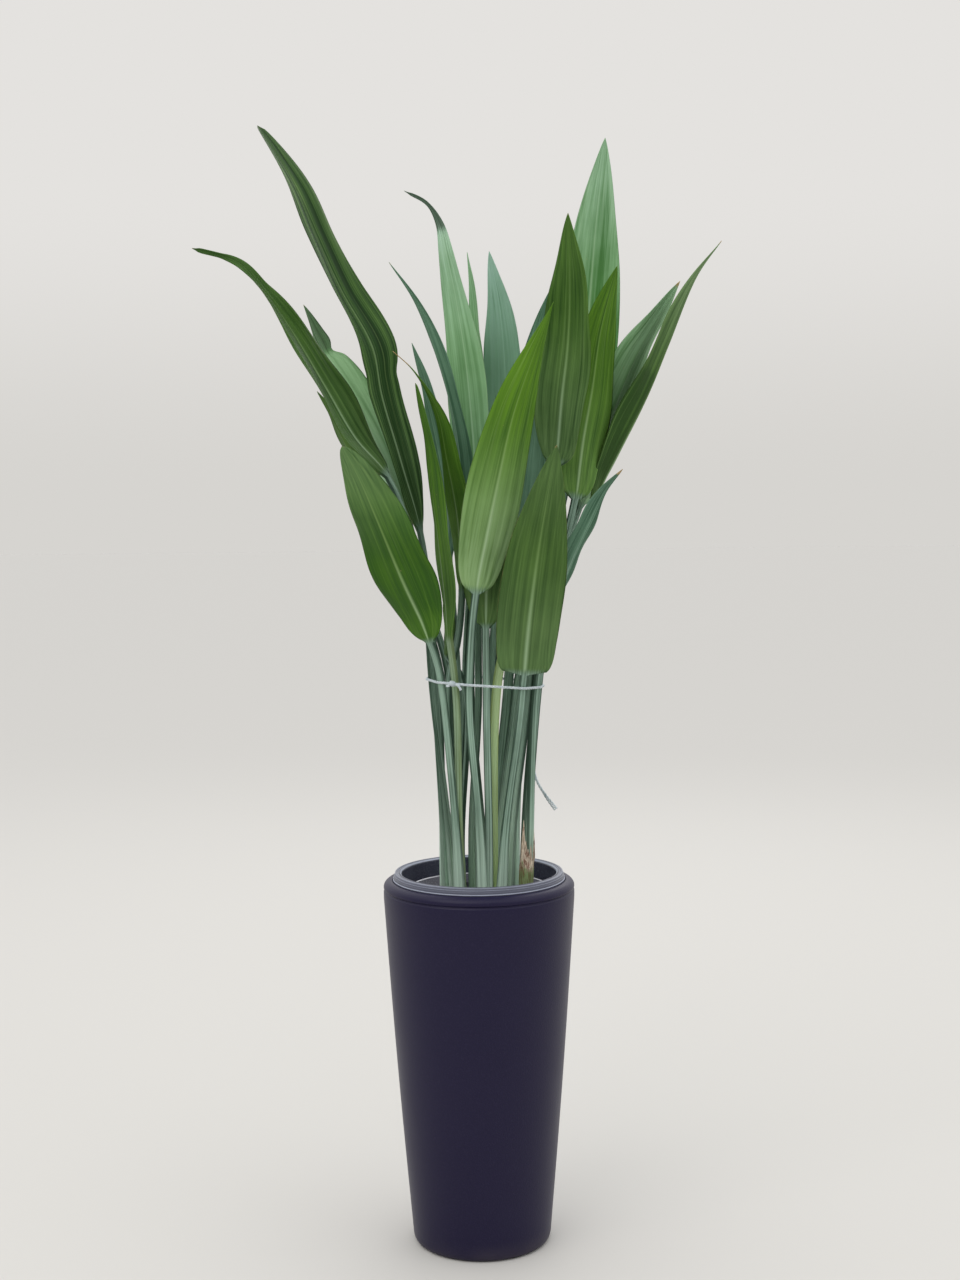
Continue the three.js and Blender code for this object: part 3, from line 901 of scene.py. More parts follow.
LEAVES = (
    # the left fan, from the tallest down
    Leaf((-44, 6), 15, (-56, 8), [(-60, -2, 849)],
         [(-72, -5, 940), (-96, -12, 1032), (-118, -20, 1112), (-129, -26, 1173), (-167, -32, 1244),
          (-197, -34, 1312), (-222, -30, 1372), (-270, -20, 1451)],
         88, (-124, -115), 14, 3, 0.5, 0.4, Tone.DEEP, pleat=1.6, heel_narrow=0.88, pinch=0.12,
         gather=(2, 0), shade=-0.12, heel_shade=-0.35, tip_shade=-0.3, streaks=1.0),
    Leaf((-38, -14), 17, (-59, -12), [(-67, -24, 863), (-90, -36, 960)],
         [(-113, -44, 1012), (-150, -54, 1057), (-184, -64, 1117), (-228, -76, 1193),
          (-262, -84, 1242), (-289, -90, 1272), (-344, -98, 1289)],
         80, (-122, -108), 14, 3, 0.4, 1.7, Tone.DEEP, curl=-66, ribbon=3.2, gather=(8, 0)),
    Leaf((-46, 24), 13, (-52, 30), [(-66, 34, 847)],
         [(-88, 36, 952), (-130, 40, 1057), (-162, 42, 1120), (-193, 42, 1172), (-221, 38, 1233)],
         84, (-50, -50), 14, 3, 0.6, 0.85, Tone.PALE, crease=0.78, pinch=0.45, shade=0.35,
         tip_shade=-1.5, bloom_and_sheen=(0.4, 0.2)),
    Leaf((-32, 36), 12, (-38, 44), [(-66, 62, 846)],
         [(-95, 88, 952), (-119, 104, 1058), (-149, 110, 1122), (-191, 110, 1178)],
         60, (-150, -150), 12, 2, 0.6, 0.85, Tone.PALE),
    Leaf((-28, 14), 12, (-46, 20), [(-73, 16, 848)],
         [(-93, 12, 920), (-124, 6, 979), (-159, 2, 1037), (-182, 0, 1083), (-202, 0, 1119)],
         66, (-60, -60), 16, 3, 0.6, 0.85, Tone.DEEP, gather=(4, 0)),
    Leaf((-28, -36), 18, (-46, -42), [],
         [(-59, -60, 800), (-93, -88, 882), (-121, -110, 955), (-142, -122, 1006), (-162, -128, 1045)],
         84, (-20, -15), 14, 4, 0.5, 0.6, Tone.FRESH, gather=(5, 2), shade=-0.28, bloom_and_sheen=(0.0, 0.3),
         streaks=0.3),
    # the middle, from the front to the back
    Leaf((-8, -46), 17, (-10, -52), [],
         [(0, -74, 863), (13, -90, 928), (29, -100, 1002), (48, -108, 1082), (73, -114, 1154),
          (98, -118, 1218)],
         75, (8, 20), 14, 3, 0.3, 1.1, Tone.FRESH, pleat=1.6, gather=(12, 4), shade=0.24,
         side_shade=-0.12, bloom_and_sheen=(0.62, 0.0), streaks=0.65),
    Leaf((8, -34), 13, (12, -40), [],
         [(12, -50, 817), (15, -56, 889), (29, -62, 978), (47, -66, 1065)],
         68, (0, 0), 12, 2, 0.45, 0.85, Tone.DEEP, gather=(4, 2)),
    Leaf((-12, -24), 12, (-28, -38), [],
         [(-34, -44, 800), (-43, -56, 896), (-52, -64, 978), (-58, -69, 1041), (-68, -72, 1091),
          (-73, -74, 1124)],
         48, (-60, -70), 14, 2, 0.6, 0.5, Tone.FRESH, gather=(-7, 0), stalk_width=14, shade=-0.1,
         young=0.4),
    Leaf((-24, -16), 12, (-36, -20), [(-24, -24, 798)],
         [(-18, -28, 863), (-22, -32, 953), (-35, -35, 1029), (-48, -38, 1092), (-77, -40, 1142),
          (-102, -42, 1166)],
         46, (-38, -60), 16, 2, 0.6, 1.8, Tone.FRESH, gather=(1, 0), dry_tip=0.1),
    Leaf((-18, 0), 12, (-24, -2), [],
         [(-34, 8, 900), (-38, 12, 985), (-50, 16, 1056), (-63, 18, 1117), (-80, 18, 1181)],
         52, (-58, -55), 16, 2, 0.6, 0.85, Tone.BLUE, gather=(-5, 0)),
    Leaf((-10, 12), 11, (-18, 12), [],
         [(-38, 8, 775), (-40, 8, 820), (-44, 8, 885)],
         36, (-65, -65), 18, 1, 0.6, 0.85, Tone.DEEP, gather=(-12, 0)),
    Leaf((-12, 30), 11, (-16, 32), [],
         [(-9, 36, 886), (-15, 42, 991), (-26, 48, 1082), (-50, 52, 1174), (-74, 55, 1234),
          (-110, 57, 1289)],
         42, (-65, -60), 20, 2, 0.8, 0.9, Tone.BLUE, gather=(-9, -4)),
    Leaf((6, 16), 13, (2, 20), [],
         [(3, 74, 938), (-1, 92, 1044), (-11, 104, 1164), (-23, 110, 1244), (-36, 113, 1311),
          (-45, 114, 1348), (-61, 112, 1373), (-91, 108, 1389)],
         60, (155, 150), 12, 3, 0.6, 1.5, Tone.PALE, crease=0.84, curl=24, ribbon=2.6,
         gather=(-13, -4), shade=0.15, tip_shade=-1.7, bloom_and_sheen=(0.3, 1.0)),
    Leaf((-2, 42), 11, (-8, 50), [],
         [(6, 122, 1000), (8, 140, 1130), (2, 152, 1248), (-8, 158, 1314)],
         38, (120, 120), 18, 2, 0.7, 0.85, Tone.PALE, gather=(10, -4), stalk_width=12.5,
         bloom_and_sheen=(0.2, 0.4)),
    Leaf((16, 42), 12, (20, 52), [],
         [(38, 116, 980), (43, 140, 1120), (36, 156, 1235), (22, 164, 1316)],
         66, (155, 150), 12, 3, 0.6, 0.85, Tone.BLUE, gather=(2, -4), stalk_width=12, shade=0.7,
         bloom_and_sheen=(1.0, 0.9)),
    # the right fan, from the front to the back
    Leaf((40, -40), 16, (58, -52), [],
         [(60, -58, 758), (68, -88, 840), (78, -108, 916), (88, -124, 977), (100, -140, 1044)],
         84, (5, 0), 12, 3, 0.12, 0.85, Tone.DEEP, gather=(-13, 4), shade=-0.05, bloom_and_sheen=(0.16, 0.1),
         streaks=0.35, dry_tip=0.02, dry_edge=0.35),
    Leaf((18, -18), 12, (26, -22), [],
         [(45, -18, 825), (52, -8, 940), (66, 4, 1040), (84, 10, 1156)],
         72, (10, 0), 12, 2, 0.5, 0.85, Tone.BLUE, stalk_width=12, young=1.0),
    Leaf((50, -14), 14, (68, -24), [(88, -24, 900)],
         [(104, -28, 1023), (111, -34, 1103), (119, -38, 1172), (122, -40, 1240), (120, -40, 1336)],
         84, (140, 140), 8, 3, 0.3, 0.85, Tone.DEEP, pleat=1.0, gather=(-12, 0), shade=0.1,
         bloom_and_sheen=(0.2, 0.0)),
    Leaf((68, -6), 14, (80, -8), [(107, -2, 886)],
         [(129, -2, 980), (140, 2, 1054), (152, 8, 1118), (164, 12, 1195), (186, 18, 1277)],
         70, (20, 20), 12, 3, 0.3, 0.85, Tone.FRESH, gather=(-6, -2), shade=0.1, bloom_and_sheen=(0.15, 0.0)),
    Leaf((38, 16), 14, (54, 22), [(91, 50, 871)],
         [(130, 92, 1043), (148, 104, 1163), (158, 112, 1269), (166, 116, 1355), (178, 118, 1458)],
         86, (170, 190), 12, 4, 0.45, 0.85, Tone.PALE, gather=(-12, -2), stalk_width=12, shade=-0.15,
         bloom_and_sheen=(0.0, 0.45)),
    Leaf((34, 38), 12, (42, 48), [],
         [(70, 112, 930), (78, 134, 1060), (88, 146, 1170), (106, 150, 1264)],
         70, (165, 165), 12, 3, 0.5, 0.85, Tone.BLUE, gather=(-13, -6), stalk_width=13),
    Leaf((52, 32), 12, (66, 34), [(100, 40, 865)],
         [(138, 46, 970), (173, 54, 1068), (211, 58, 1159), (243, 62, 1214), (272, 66, 1262)],
         80, (38, 46), 12, 3, 0.5, 0.85, Tone.PALE, gather=(-5, -4), shade=0.2, bloom_and_sheen=(0.2, 0.45),
         streaks=0.9, dry_tip=0.04),
    Leaf((62, 12), 12, (78, 8), [(115, 20, 879)],
         [(150, 28, 966), (186, 32, 1033), (227, 36, 1113), (254, 38, 1177), (291, 38, 1265),
          (323, 38, 1310)],
         76, (60, 74), 26, 3, 0.6, 1.1, Tone.DEEP, crease=0.5, gather=(-6, 0), shade=-0.2,
         heel_shade=-0.45, side_shade=-0.25, bloom_and_sheen=(0.0, 0.45), streaks=0.9, dry_tip=0.03),
    Leaf((60, -29), 12, (76, -29), [(87, -33, 798)],
         [(102, -38, 847), (122, -42, 901), (143, -45, 945), (165, -46, 989), (187, -46, 1015)],
         38, (42, 42), 18, 2, 0.8, 0.85, Tone.BLUE, gather=(2, 0), shade=-0.15, bloom_and_sheen=(0.05, 0.05),
         dry_tip=0.06),
)


@dataclass(frozen=True)
class TieLine:
    """The sloping line along which the string holds the stalks. Millimetres."""

    height: float = 742.0
    centre: float = 11.0
    slope: float = -0.07

    def level(self, x: float) -> float:
        """The height of the line at x."""
        return self.height + self.slope * (x - self.centre)


@dataclass(frozen=True)
class LeafClump:
    """All the leaves, each grown along its own path by one Geometry Nodes tree. Millimetres and shares."""

    leaves: Sequence[Leaf] = LEAVES
    tied: TieLine = TieLine()
    around: int = 80
    rows: int = 120
    path_steps: int = 40
    stalk_rows: float = 0.26
    foot_height: float = 431.3
    gather_height: float = 520.0
    stalk_depth: float = 6.5
    channel: float = 2.0
    flatness: float = 0.86
    sheath_depth: float = 9.0
    sheath_height: float = 170.0
    blade_thickness: float = 0.7
    midrib_thickness: float = 2.6
    keel_heel: float = 1.6
    keel_tip: float = 0.8
    ridges: float = 10.0
    ridge_depth: float = 0.22
    edge_round: float = 0.3
    widest: float = 0.34
    heel_blend: float = 0.14
    curl_span: tuple[float, float] = (0.72, 0.92)
    crease_blend: float = 0.02
    pinch_reach: float = 0.03
    waves: float = 2.5

    def path(self, leaf: Leaf) -> tuple[np.ndarray, float, float]:
        """Follows a leaf from its foot to its tip.

        Args:
            leaf: the leaf.

        Returns:
            The points of its path in metres, the path's length, and the share of it that is stalk.
        """
        tie_z = self.tied.level(leaf.tie[0])
        stalk = [(*leaf.foot, self.foot_height), (*leaf.tie, tie_z), *leaf.stalk]
        points = smooth_path([*stalk, *leaf.rib], self.path_steps)
        low = np.clip((tie_z - points[:, 2]) / (tie_z - self.gather_height), 0, 1)
        points[:, :2] += (low * low * (3 - 2 * low))[:, None] * np.array(leaf.gather)
        points *= MM
        lengths = np.concatenate([[0], np.cumsum(np.linalg.norm(np.diff(points, axis=0), axis=1))])
        return points, float(lengths[-1]), float(lengths[self.path_steps * len(stalk)] / lengths[-1])

    def sizes(self, number: int, leaf: Leaf, length: float, heel_share: float) -> dict[str, float]:
        """Gives the tree's inputs for one leaf, in metres, radians and shares.

        Args:
            number: the leaf's number, which also seeds its streaks.
            leaf: the leaf.
            length: the length of its path, in metres.
            heel_share: the share of that path that is stalk.

        Returns:
            The value of each input by its name.
        """
        lengths = {"Width": leaf.width, "Sheath": leaf.sheath, "Stalk": leaf.stalk_width, "Wave": leaf.wave,
                   "Pleat": leaf.pleat, "Ribbon": leaf.ribbon}
        angles = {"Turn Heel": leaf.turn[0], "Turn Tip": leaf.turn[1], "Fold": leaf.fold, "Curl": leaf.curl}
        plain = {"Length": length, "Heel Share": heel_share, "Seed": number * 3, "Heel": leaf.heel,
                 "Point": leaf.point, "Crease": leaf.crease, "Heel Narrow": leaf.heel_narrow,
                 "Pinch": leaf.pinch, "Shade": leaf.shade, "Heel Shade": leaf.heel_shade,
                 "Tip Shade": leaf.tip_shade, "Side Shade": leaf.side_shade, "Heel Bloom And Sheen": leaf.bloom_and_sheen[0],
                 "Tip Bloom And Sheen": leaf.bloom_and_sheen[1], "Streaks": leaf.streaks, "Young": leaf.young,
                 "Dry Tip": leaf.dry_tip, "Dry Edge": leaf.dry_edge}
        return {**{name: value * MM for name, value in lengths.items()},
                **{name: math.radians(value) for name, value in angles.items()},
                **{name: float(value) for name, value in plain.items()}}

    def tree(self) -> GrowthTree:
        """Builds the tree that grows a leaf round the polyline that it follows.

        Returns:
            The tree.
        """
        _, length, heel_share = self.path(self.leaves[0])
        tree = GrowthTree("grow_leaf", self.sizes(1, self.leaves[0], length, heel_share))
        cylinder = tree.node("GeometryNodeMeshCylinder", {"fill_type": "NGON"}, {
            "Vertices": self.around, "Side Segments": self.rows, "Radius": 1.0, "Depth": 2.0})
        x, y, z = tree.arrow(tree.node("GeometryNodeInputPosition")).parts()
        angle = y.bearing(x)

        # s runs along the blade, and share along the whole leaf
        row = z * 0.5 + 0.5
        share_up_stalk = (row / self.stalk_rows).least(1.0)
        s = ((row - self.stalk_rows) / (1.0 - self.stalk_rows)).most(0.0)
        heel = tree.given("Heel Share")
        share = heel * share_up_stalk + (1.0 - heel) * s

        curve = tree.through("GeometryNodeMeshToCurve", tree.start())
        sample = tree.node("GeometryNodeSampleCurve", {"mode": "FACTOR"},
                           {"Curves": curve, "Factor": share})
        centre, tangent = tree.arrow(sample, "Position"), tree.arrow(sample, "Tangent")
        turn = s.blend(tree.given("Turn Heel"), tree.given("Turn Tip"))
        turn = turn + s.ease(*self.curl_span) * tree.given("Curl")
        level = tree.vector(turn.cos(), turn.sin(), 0.0)
        side = (level - tangent * level.dot(tangent)).unit()
        up = tangent.cross(side)

        blade = s.ease(0.0, self.heel_blend)
        sheath = 1.0 - (share * tree.given("Length")).ease(0.0, self.sheath_height * MM)
        half = self._half_width(tree, s, sheath)
        even = 1.0 - abs(angle) * (2 / math.pi)
        across = blade.blend(angle.cos(), even)
        offset = across * half
        upper = y.above(0.0)
        height = self._height(tree, s, blade, sheath, across, half, upper)
        thick = self._thickness(s, blade, sheath, abs(across), offset, upper)
        roundoff = (abs(angle.sin()) / self.edge_round).least(1.0) ** 0.5
        ridges = (angle * self.ridges).cos() * (self.ridge_depth * MM) * (1.0 - blade) * roundoff
        lift = height + (upper * 2.0 - 1.0) * (thick * 0.5 + ridges) * roundoff
        fold = tree.given("Fold") * blade
        place = centre + side * (offset * fold.cos()) + up * lift

        # the marks are kept first, because they follow from the places on the unit tube
        stem = 1.0 - share_up_stalk
        past = self._past_crease(tree, s)
        # painted shade: Heel Shade and Tip Shade darken the blade before and past its crease, where it
        # twists or curls away from the light, and Side Shade darkens the half of a folded blade that faces
        # away from it
        shade = tree.given("Shade") + past.blend(tree.given("Heel Shade"), tree.given("Tip Shade"))
        shade = shade + across * tree.given("Side Shade")
        # the pale wax at heel and tip, partly painted sheen of the sky on blades that tilt back
        bloom_and_sheen = (1.0 - s.ease(0.05, 0.65)) * tree.given("Heel Bloom And Sheen")
        bloom_and_sheen = bloom_and_sheen + s.ease(0.4, 1.0) * tree.given("Tip Bloom And Sheen")
        skin = tree.keep(cylinder.outputs["Mesh"], "leaf_share",
                         tree.vector(s - stem, across, angle.sin().ease(-0.1, 0.1)))
        skin = tree.keep(skin, "leaf_metres",
                         tree.vector((share - heel) * tree.given("Length"), offset, tree.given("Seed")))
        skin = tree.keep(skin, "leaf_traits",
                         tree.vector(tree.given("Dry Tip"), shade, tree.given("Dry Edge")))
        skin = tree.keep(skin, "leaf_habit",
                         tree.vector(tree.given("Young"), tree.given("Streaks"), bloom_and_sheen))
        tree.end(tree.move(skin, Position=place))
        return tree

    def _past_crease(self, tree: GrowthTree, s: Number) -> Number:
        """0 on the heel's side of a leaf's crease and 1 on the tip's side."""
        return (s - tree.given("Crease")).ease(-self.crease_blend, self.crease_blend)

    def _half_width(self, tree: GrowthTree, s: Number, sheath: Number) -> Number:
        """Half of the leaf's width.

        Args:
            tree: the tree that grows the leaf.
            s: the share of the blade, from its heel to its tip.
            sheath: 1 at the foot, falling to 0 up the stalk.

        Returns:
            Half of the width, in metres.
        """
        rise = ((s / self.widest).least(1.0) * (math.pi / 2)).sin() ** tree.given("Heel")
        beyond = ((s - self.widest) / (1.0 - self.widest)).most(0.0)
        fall = (beyond * (math.pi / 2)).cos().most(0.0) ** tree.given("Point")
        beside = (s - tree.given("Crease")) / self.pinch_reach
        pinch = 1.0 - beside.bell() * tree.given("Pinch")
        narrow = self._past_crease(tree, s).blend(tree.given("Heel Narrow"), 1.0)
        blade_half = tree.given("Width") * 0.5 * rise * fall * pinch * narrow
        stalk_half = sheath.blend(tree.given("Stalk"), tree.given("Sheath")) * 0.5
        end = (s.ease(0.97, 1.0) * -0.9 + 1.0) * tree.given("Ribbon")
        return blade_half.most(s.ease(0.0, 0.5).blend(stalk_half, end))

    def _height(self, tree: GrowthTree, s: Number, blade: Number, sheath: Number, across: Number,
                half: Number, upper: Number) -> Number:
        """How far the middle of the leaf's skin lies above its path: fold, ripples, pleats and channel.

        Args:
            tree: the tree that grows the leaf.
            s: the share of the blade, from its heel to its tip.
            blade: 0 on the stalk and 1 on the blade.
            sheath: 1 at the foot, falling to 0 up the stalk.
            across: from -1 at one margin to 1 at the other.
            half: half of the leaf's width.
            upper: 1 on the upper side and 0 on the lower.

        Returns:
            The height, in metres.
        """
        away = abs(across)
        swell = (s * math.pi).sin().most(0.0)
        phase = (s * (2 * self.waves) + across * 0.8 + tree.given("Width") * 100.0) * math.pi
        ripple = swell * tree.given("Wave") * across * across * phase.sin()
        bent = ((away * away + 0.01) ** 0.5 - 0.1) * half * (tree.given("Fold") * blade).sin()
        flat_margin = 1.0 - away.ease(0.8, 1.0)
        folds = (pleats(tree, across, s, tree.given("Seed")) - 0.5) * tree.given("Pleat")
        folds = folds * flat_margin * swell ** 0.5 * blade
        groove = (1.0 - across * across).most(0.0) ** 2.0 * (self.channel * MM)
        groove = groove * (1.0 - blade) * (1.0 - sheath) * upper
        return ripple + bent + folds - groove

    def _thickness(self, s: Number, blade: Number, sheath: Number, away: Number, offset: Number,
                   upper: Number) -> Number:
        """How thick the leaf is: a rounded stalk, then a thin blade with a keel under its midrib.

        Args:
            s: the share of the blade, from its heel to its tip.
            blade: 0 on the stalk and 1 on the blade.
            sheath: 1 at the foot, falling to 0 up the stalk.
            away: 0 at the midrib and 1 at the margins.
            offset: how far from the midrib the skin lies, in metres.
            upper: 1 on the upper side and 0 on the lower.

        Returns:
            The thickness, in metres.
        """
        lens = (1.0 - away * away * self.flatness) ** 0.5
        stalk = sheath.blend(self.stalk_depth * MM, self.sheath_depth * MM) * lens
        from_rib = offset / ((1.0 - s).most(0.0) * (self.keel_heel * MM) + self.keel_tip * MM)
        keel = from_rib.bell() * (1.0 - s) * ((self.midrib_thickness - self.blade_thickness) * MM)
        return blade.blend(stalk, keel * (1.0 - upper) + self.blade_thickness * MM)

    def build(self) -> list[bpy.types.Object]:
        """Grows every leaf, in its own finish, over its own solid.

        Returns:
            The leaves.
        """
        tree = self.tree()
        skins = {tone: tone.value.material() for tone in Tone}
        grown = []
        for number, leaf in enumerate(self.leaves, start=1):
            node = f"leaf_{number:02d}"
            points, length, heel_share = self.path(leaf)
            piece = tree.grow(f"{node}_skin", polyline(node, points), skins[leaf.tone],
                              self.sizes(number, leaf, length, heel_share))
            grown.append(put_on(piece, "leaf", node))
        return grown


def put_on(piece: bpy.types.Object, slot: str, node: str) -> bpy.types.Object:
    """Lets a finished piece ride on the plant's one body in place of a CAD node.

    Args:
        piece: the finished piece.
        slot: the record's material slot meant for the piece; not used.
        node: the node that it stands for.

    Returns:
        The piece.
    """
    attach(piece, BODY)
    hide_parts(node)
    LOG.info("%s: %d faces", piece.name, len(piece.data.polygons))
    return piece


# ------------------------------------------------------------------ pots and potting mix


def rounded(corners: Sequence[tuple[float, float, float]], steps: int = 6) -> list[tuple[float, float]]:
    """Rounds the corners of a profile.

    Args:
        corners: radius, height and rounding of each corner, in millimetres.
        steps: how many pieces each rounding is cut into.

    Returns:
        Radius and height of each point of the rounded profile, in millimetres.
    """
    points = []
    for i, (radius, height, bend) in enumerate(corners):
        here = np.array([radius, height])
        if bend == 0 or i in (0, len(corners) - 1):
            points.append(tuple(here))
            continue
        before, after = (np.array(corners[j][:2]) - here for j in (i - 1, i + 1))
        reach = min(bend, 0.49 * np.linalg.norm(before), 0.49 * np.linalg.norm(after))
        start = here + before / np.linalg.norm(before) * reach
        end = here + after / np.linalg.norm(after) * reach
        for t in np.linspace(0, 1, steps + 1):
            points.append(tuple((1 - t) ** 2 * start + 2 * t * (1 - t) * here + t ** 2 * end))
    return points


def turning_tree() -> GrowthTree:
    """Builds the tree that turns a profile, whose ends lie on the axis, round it into a closed skin.

    Returns:
        The tree, which reads the profile's heights and radii from the polyline.
    """
    tree = GrowthTree("turn_profile", {"Rows": 10, "Sides": 96})
    segments = tree.given("Rows") - 1.0
    cylinder = tree.node("GeometryNodeMeshCylinder", {"fill_type": "NONE"}, {
        "Vertices": tree.given("Sides"), "Side Segments": segments, "Radius": 1.0, "Depth": 2.0})
    position = tree.arrow(tree.node("GeometryNodeInputPosition"))
    x, y, z = position.parts()
    profile = tree.node("GeometryNodeSampleIndex", {"data_type": "FLOAT_VECTOR", "domain": "POINT"}, {
        "Geometry": tree.start(), "Value": position, "Index": (z * 0.5 + 0.5) * segments + 0.001})
    radius, _, height = tree.arrow(profile, "Value").parts()
    skin = tree.move(cylinder.outputs["Mesh"], Position=tree.vector(x * radius, y * radius, height))
    tree.end(tree.through("GeometryNodeMergeByDistance", skin, NONE, {"Distance": 0.00001}))
    return tree


@dataclass(frozen=True)
class Pots:
    """The planter, its lift-out liner and the grower's pot, turned with every edge rounded. Millimetres."""

    planter: MouldedPlastic = MouldedPlastic(
        "planter_plastic", srgb(15, 8, 47), srgb(56, 50, 80), 0.4, specular=0.28)
    # the liner's pale rings are painted highlights along its collar's step edges and mouth, and a faint
    # painted sheen across its top
    liner: MouldedPlastic = MouldedPlastic(
        "liner_plastic", srgb(26, 26, 50), srgb(176, 182, 200), 0.34, dust_height=0.001, specular=0.45,
        pale_above=0.4832, pale_rings=(
            (0.1085, 0.0048, 0.22), (0.1024, 0.0008, 0.9), (0.1062, 0.0005, 0.6),
            (0.1095, 0.0006, 0.5), (0.1107, 0.0003, 0.5), (0.1126, 0.0004, 0.85)))
    # the grower's pot has a pale ring on its rim's top
    nursery: MouldedPlastic = MouldedPlastic(
        "nursery_plastic", srgb(46, 44, 60), srgb(206, 206, 214), 0.38, dust_height=0.001,
        pale_above=0.4703, pale_rings=((0.091, 0.003, 0.9),))
    sides: int = 160
    foot_radius: float = 83.0
    foot_rise: float = 2.4
    foot_height: float = 8.0
    floor_height: float = 6.0
    low_radius: float = 91.0
    top_radius: float = 125.0
    top_height: float = 460.0
    bulge: float = 1.6
    groove_height: float = 471.0
    groove_depth: float = 2.4
    shoulder_height: float = 483.0
    mouth_radius: float = 113.3
    ledge_height: float = 478.5
    ledge_radius: float = 106.0
    wall: float = 4.0
    collar_radius: float = 112.9
    collar_step: float = 110.0
    steps: int = 3
    lowest_step: float = 484.6
    step_height: float = 489.8
    collar_top: float = 493.0
    liner_mouth: float = 101.0
    liner_wall: float = 2.5
    liner_floor: float = 292.0
    liner_floor_radius: float = 80.0
    seat_gap: float = 0.3
    nursery_foot: float = 70.0
    nursery_wall: float = 1.6
    rim_outer: float = 92.5
    rim_inner: float = 89.5
    rim_top: float = 471.5

    def planter_profile(self) -> list[tuple[float, float]]:
        """The planter's wall from the middle of its base, up outside and down inside.

        Returns:
            Radius and height of each point of the profile, in millimetres.
        """
        side = []
        for t in np.linspace(0, 1, 25)[1:]:
            radius = self.low_radius + (self.top_radius - self.low_radius) * t
            height = self.foot_height + (self.top_height - self.foot_height) * t
            side.append((radius + self.bulge * math.sin(math.pi * t), height, 0))
        reach, start = self.top_radius - self.mouth_radius, self.groove_height + 3.0
        rise = self.shoulder_height - start
        shoulder = [(self.mouth_radius + reach * math.cos(t), start + rise * math.sin(t), 0)
                    for t in np.linspace(0, math.pi / 2, 12)[1:]]
        inside = [(radius - self.wall, max(height, self.floor_height), 0)
                  for radius, height, _ in reversed(side)]
        return rounded([
            (0, 0, 0), (self.foot_radius, 0, 3), (self.low_radius - self.foot_rise, self.foot_rise, 4),
            (self.low_radius, self.foot_height, 3), *side,
            (self.top_radius, self.groove_height - 2.6, 0.8),
            (self.top_radius - self.groove_depth, self.groove_height, 1.0),
            (self.top_radius, self.groove_height + 1.8, 0.9), *shoulder,
            (self.mouth_radius, self.ledge_height, 1), (self.ledge_radius, self.ledge_height, 1.5),
            (self.ledge_radius, self.ledge_height - self.wall, 1), *inside,
            (self.low_radius - self.wall, self.floor_height, 3), (0, self.floor_height, 0)])

    def collar_steps(self) -> list[tuple[float, float, float]]:
        """The fine steps by which the collar narrows upwards.

        Returns:
            Radius, height and rounding of each corner, in millimetres.
        """
        steps = []
        for number in range(self.steps):
            radius = self.collar_radius + (self.collar_step - self.collar_radius) * number / self.steps
            height = self.lowest_step + (self.step_height - self.lowest_step) * number / (self.steps - 1)
            steps += [(radius, height, 0.5), (radius - 0.8, height + 0.3, 0.2)]
        return steps

    def liner_profile(self) -> list[tuple[float, float]]:
        """The liner: a stepped collar and the bucket under it.

        Returns:
            Radius and height of each point of the profile, in millimetres.
        """
        under = self.ledge_height + self.seat_gap
        sleeve, rim, top = self.liner_mouth + self.liner_wall, self.collar_step, self.collar_top
        return rounded([
            (0, self.liner_floor - 3, 0),
            (self.liner_floor_radius + self.liner_wall, self.liner_floor - 3, 3),
            (sleeve, under - 6, 2), (sleeve, under, 0.5),
            (self.collar_radius, under, 0.6), *self.collar_steps(),
            (rim, top - 0.4, 1.4), (rim - 1.5, top, 1.2), (rim - 3.2, top, 0.5),
            (rim - 3.6, top - 1.1, 0.4), (rim - 5.4, top - 1.1, 0.4),
            (rim - 5.8, top - 0.1, 0.5), (self.liner_mouth + 2, top - 0.3, 2),
            (self.liner_mouth, top - 2.6, 2), (self.liner_mouth - 0.6, under - 6, 1),
            (self.liner_floor_radius, self.liner_floor, 4), (0, self.liner_floor, 0)])

    def nursery_profile(self) -> list[tuple[float, float]]:
        """The grower's pot: a rolled rim, a step below it and a thin wall.

        Returns:
            Radius and height of each point of the profile, in millimetres.
        """
        base = self.liner_floor + self.seat_gap
        return rounded([
            (0, base, 0), (self.nursery_foot, base, 2), (82.6, 458, 1), (88.3, self.rim_top - 5, 0.8),
            (self.rim_outer, self.rim_top - 5, 0.6), (self.rim_outer, self.rim_top, 1.2),
            (self.rim_inner, self.rim_top, 1.2),
            (self.rim_inner - self.nursery_wall, self.rim_top - 2.4, 1), (81.6, 462, 1), (80.4, 461, 0.8),
            (self.nursery_foot - self.nursery_wall, base + 2, 2), (0, base + 2, 0)])

    def build(self, turning: GrowthTree) -> list[bpy.types.Object]:
        """Turns the three pots.

        Args:
            turning: the tree that turns a profile.

        Returns:
            The pots.
        """
        made = []
        for node, profile, finish, slot in (
                ("planter_shell", self.planter_profile(), self.planter, "planter"),
                ("planter_liner", self.liner_profile(), self.liner, "liner"),
                ("nursery_pot", self.nursery_profile(), self.nursery, "nursery_pot")):
            piece = turning.grow(f"{node}_skin", outline(node, profile), finish.material(),
                                 {"Rows": len(profile), "Sides": self.sides})
            made.append(put_on(piece, slot, node))
        return made


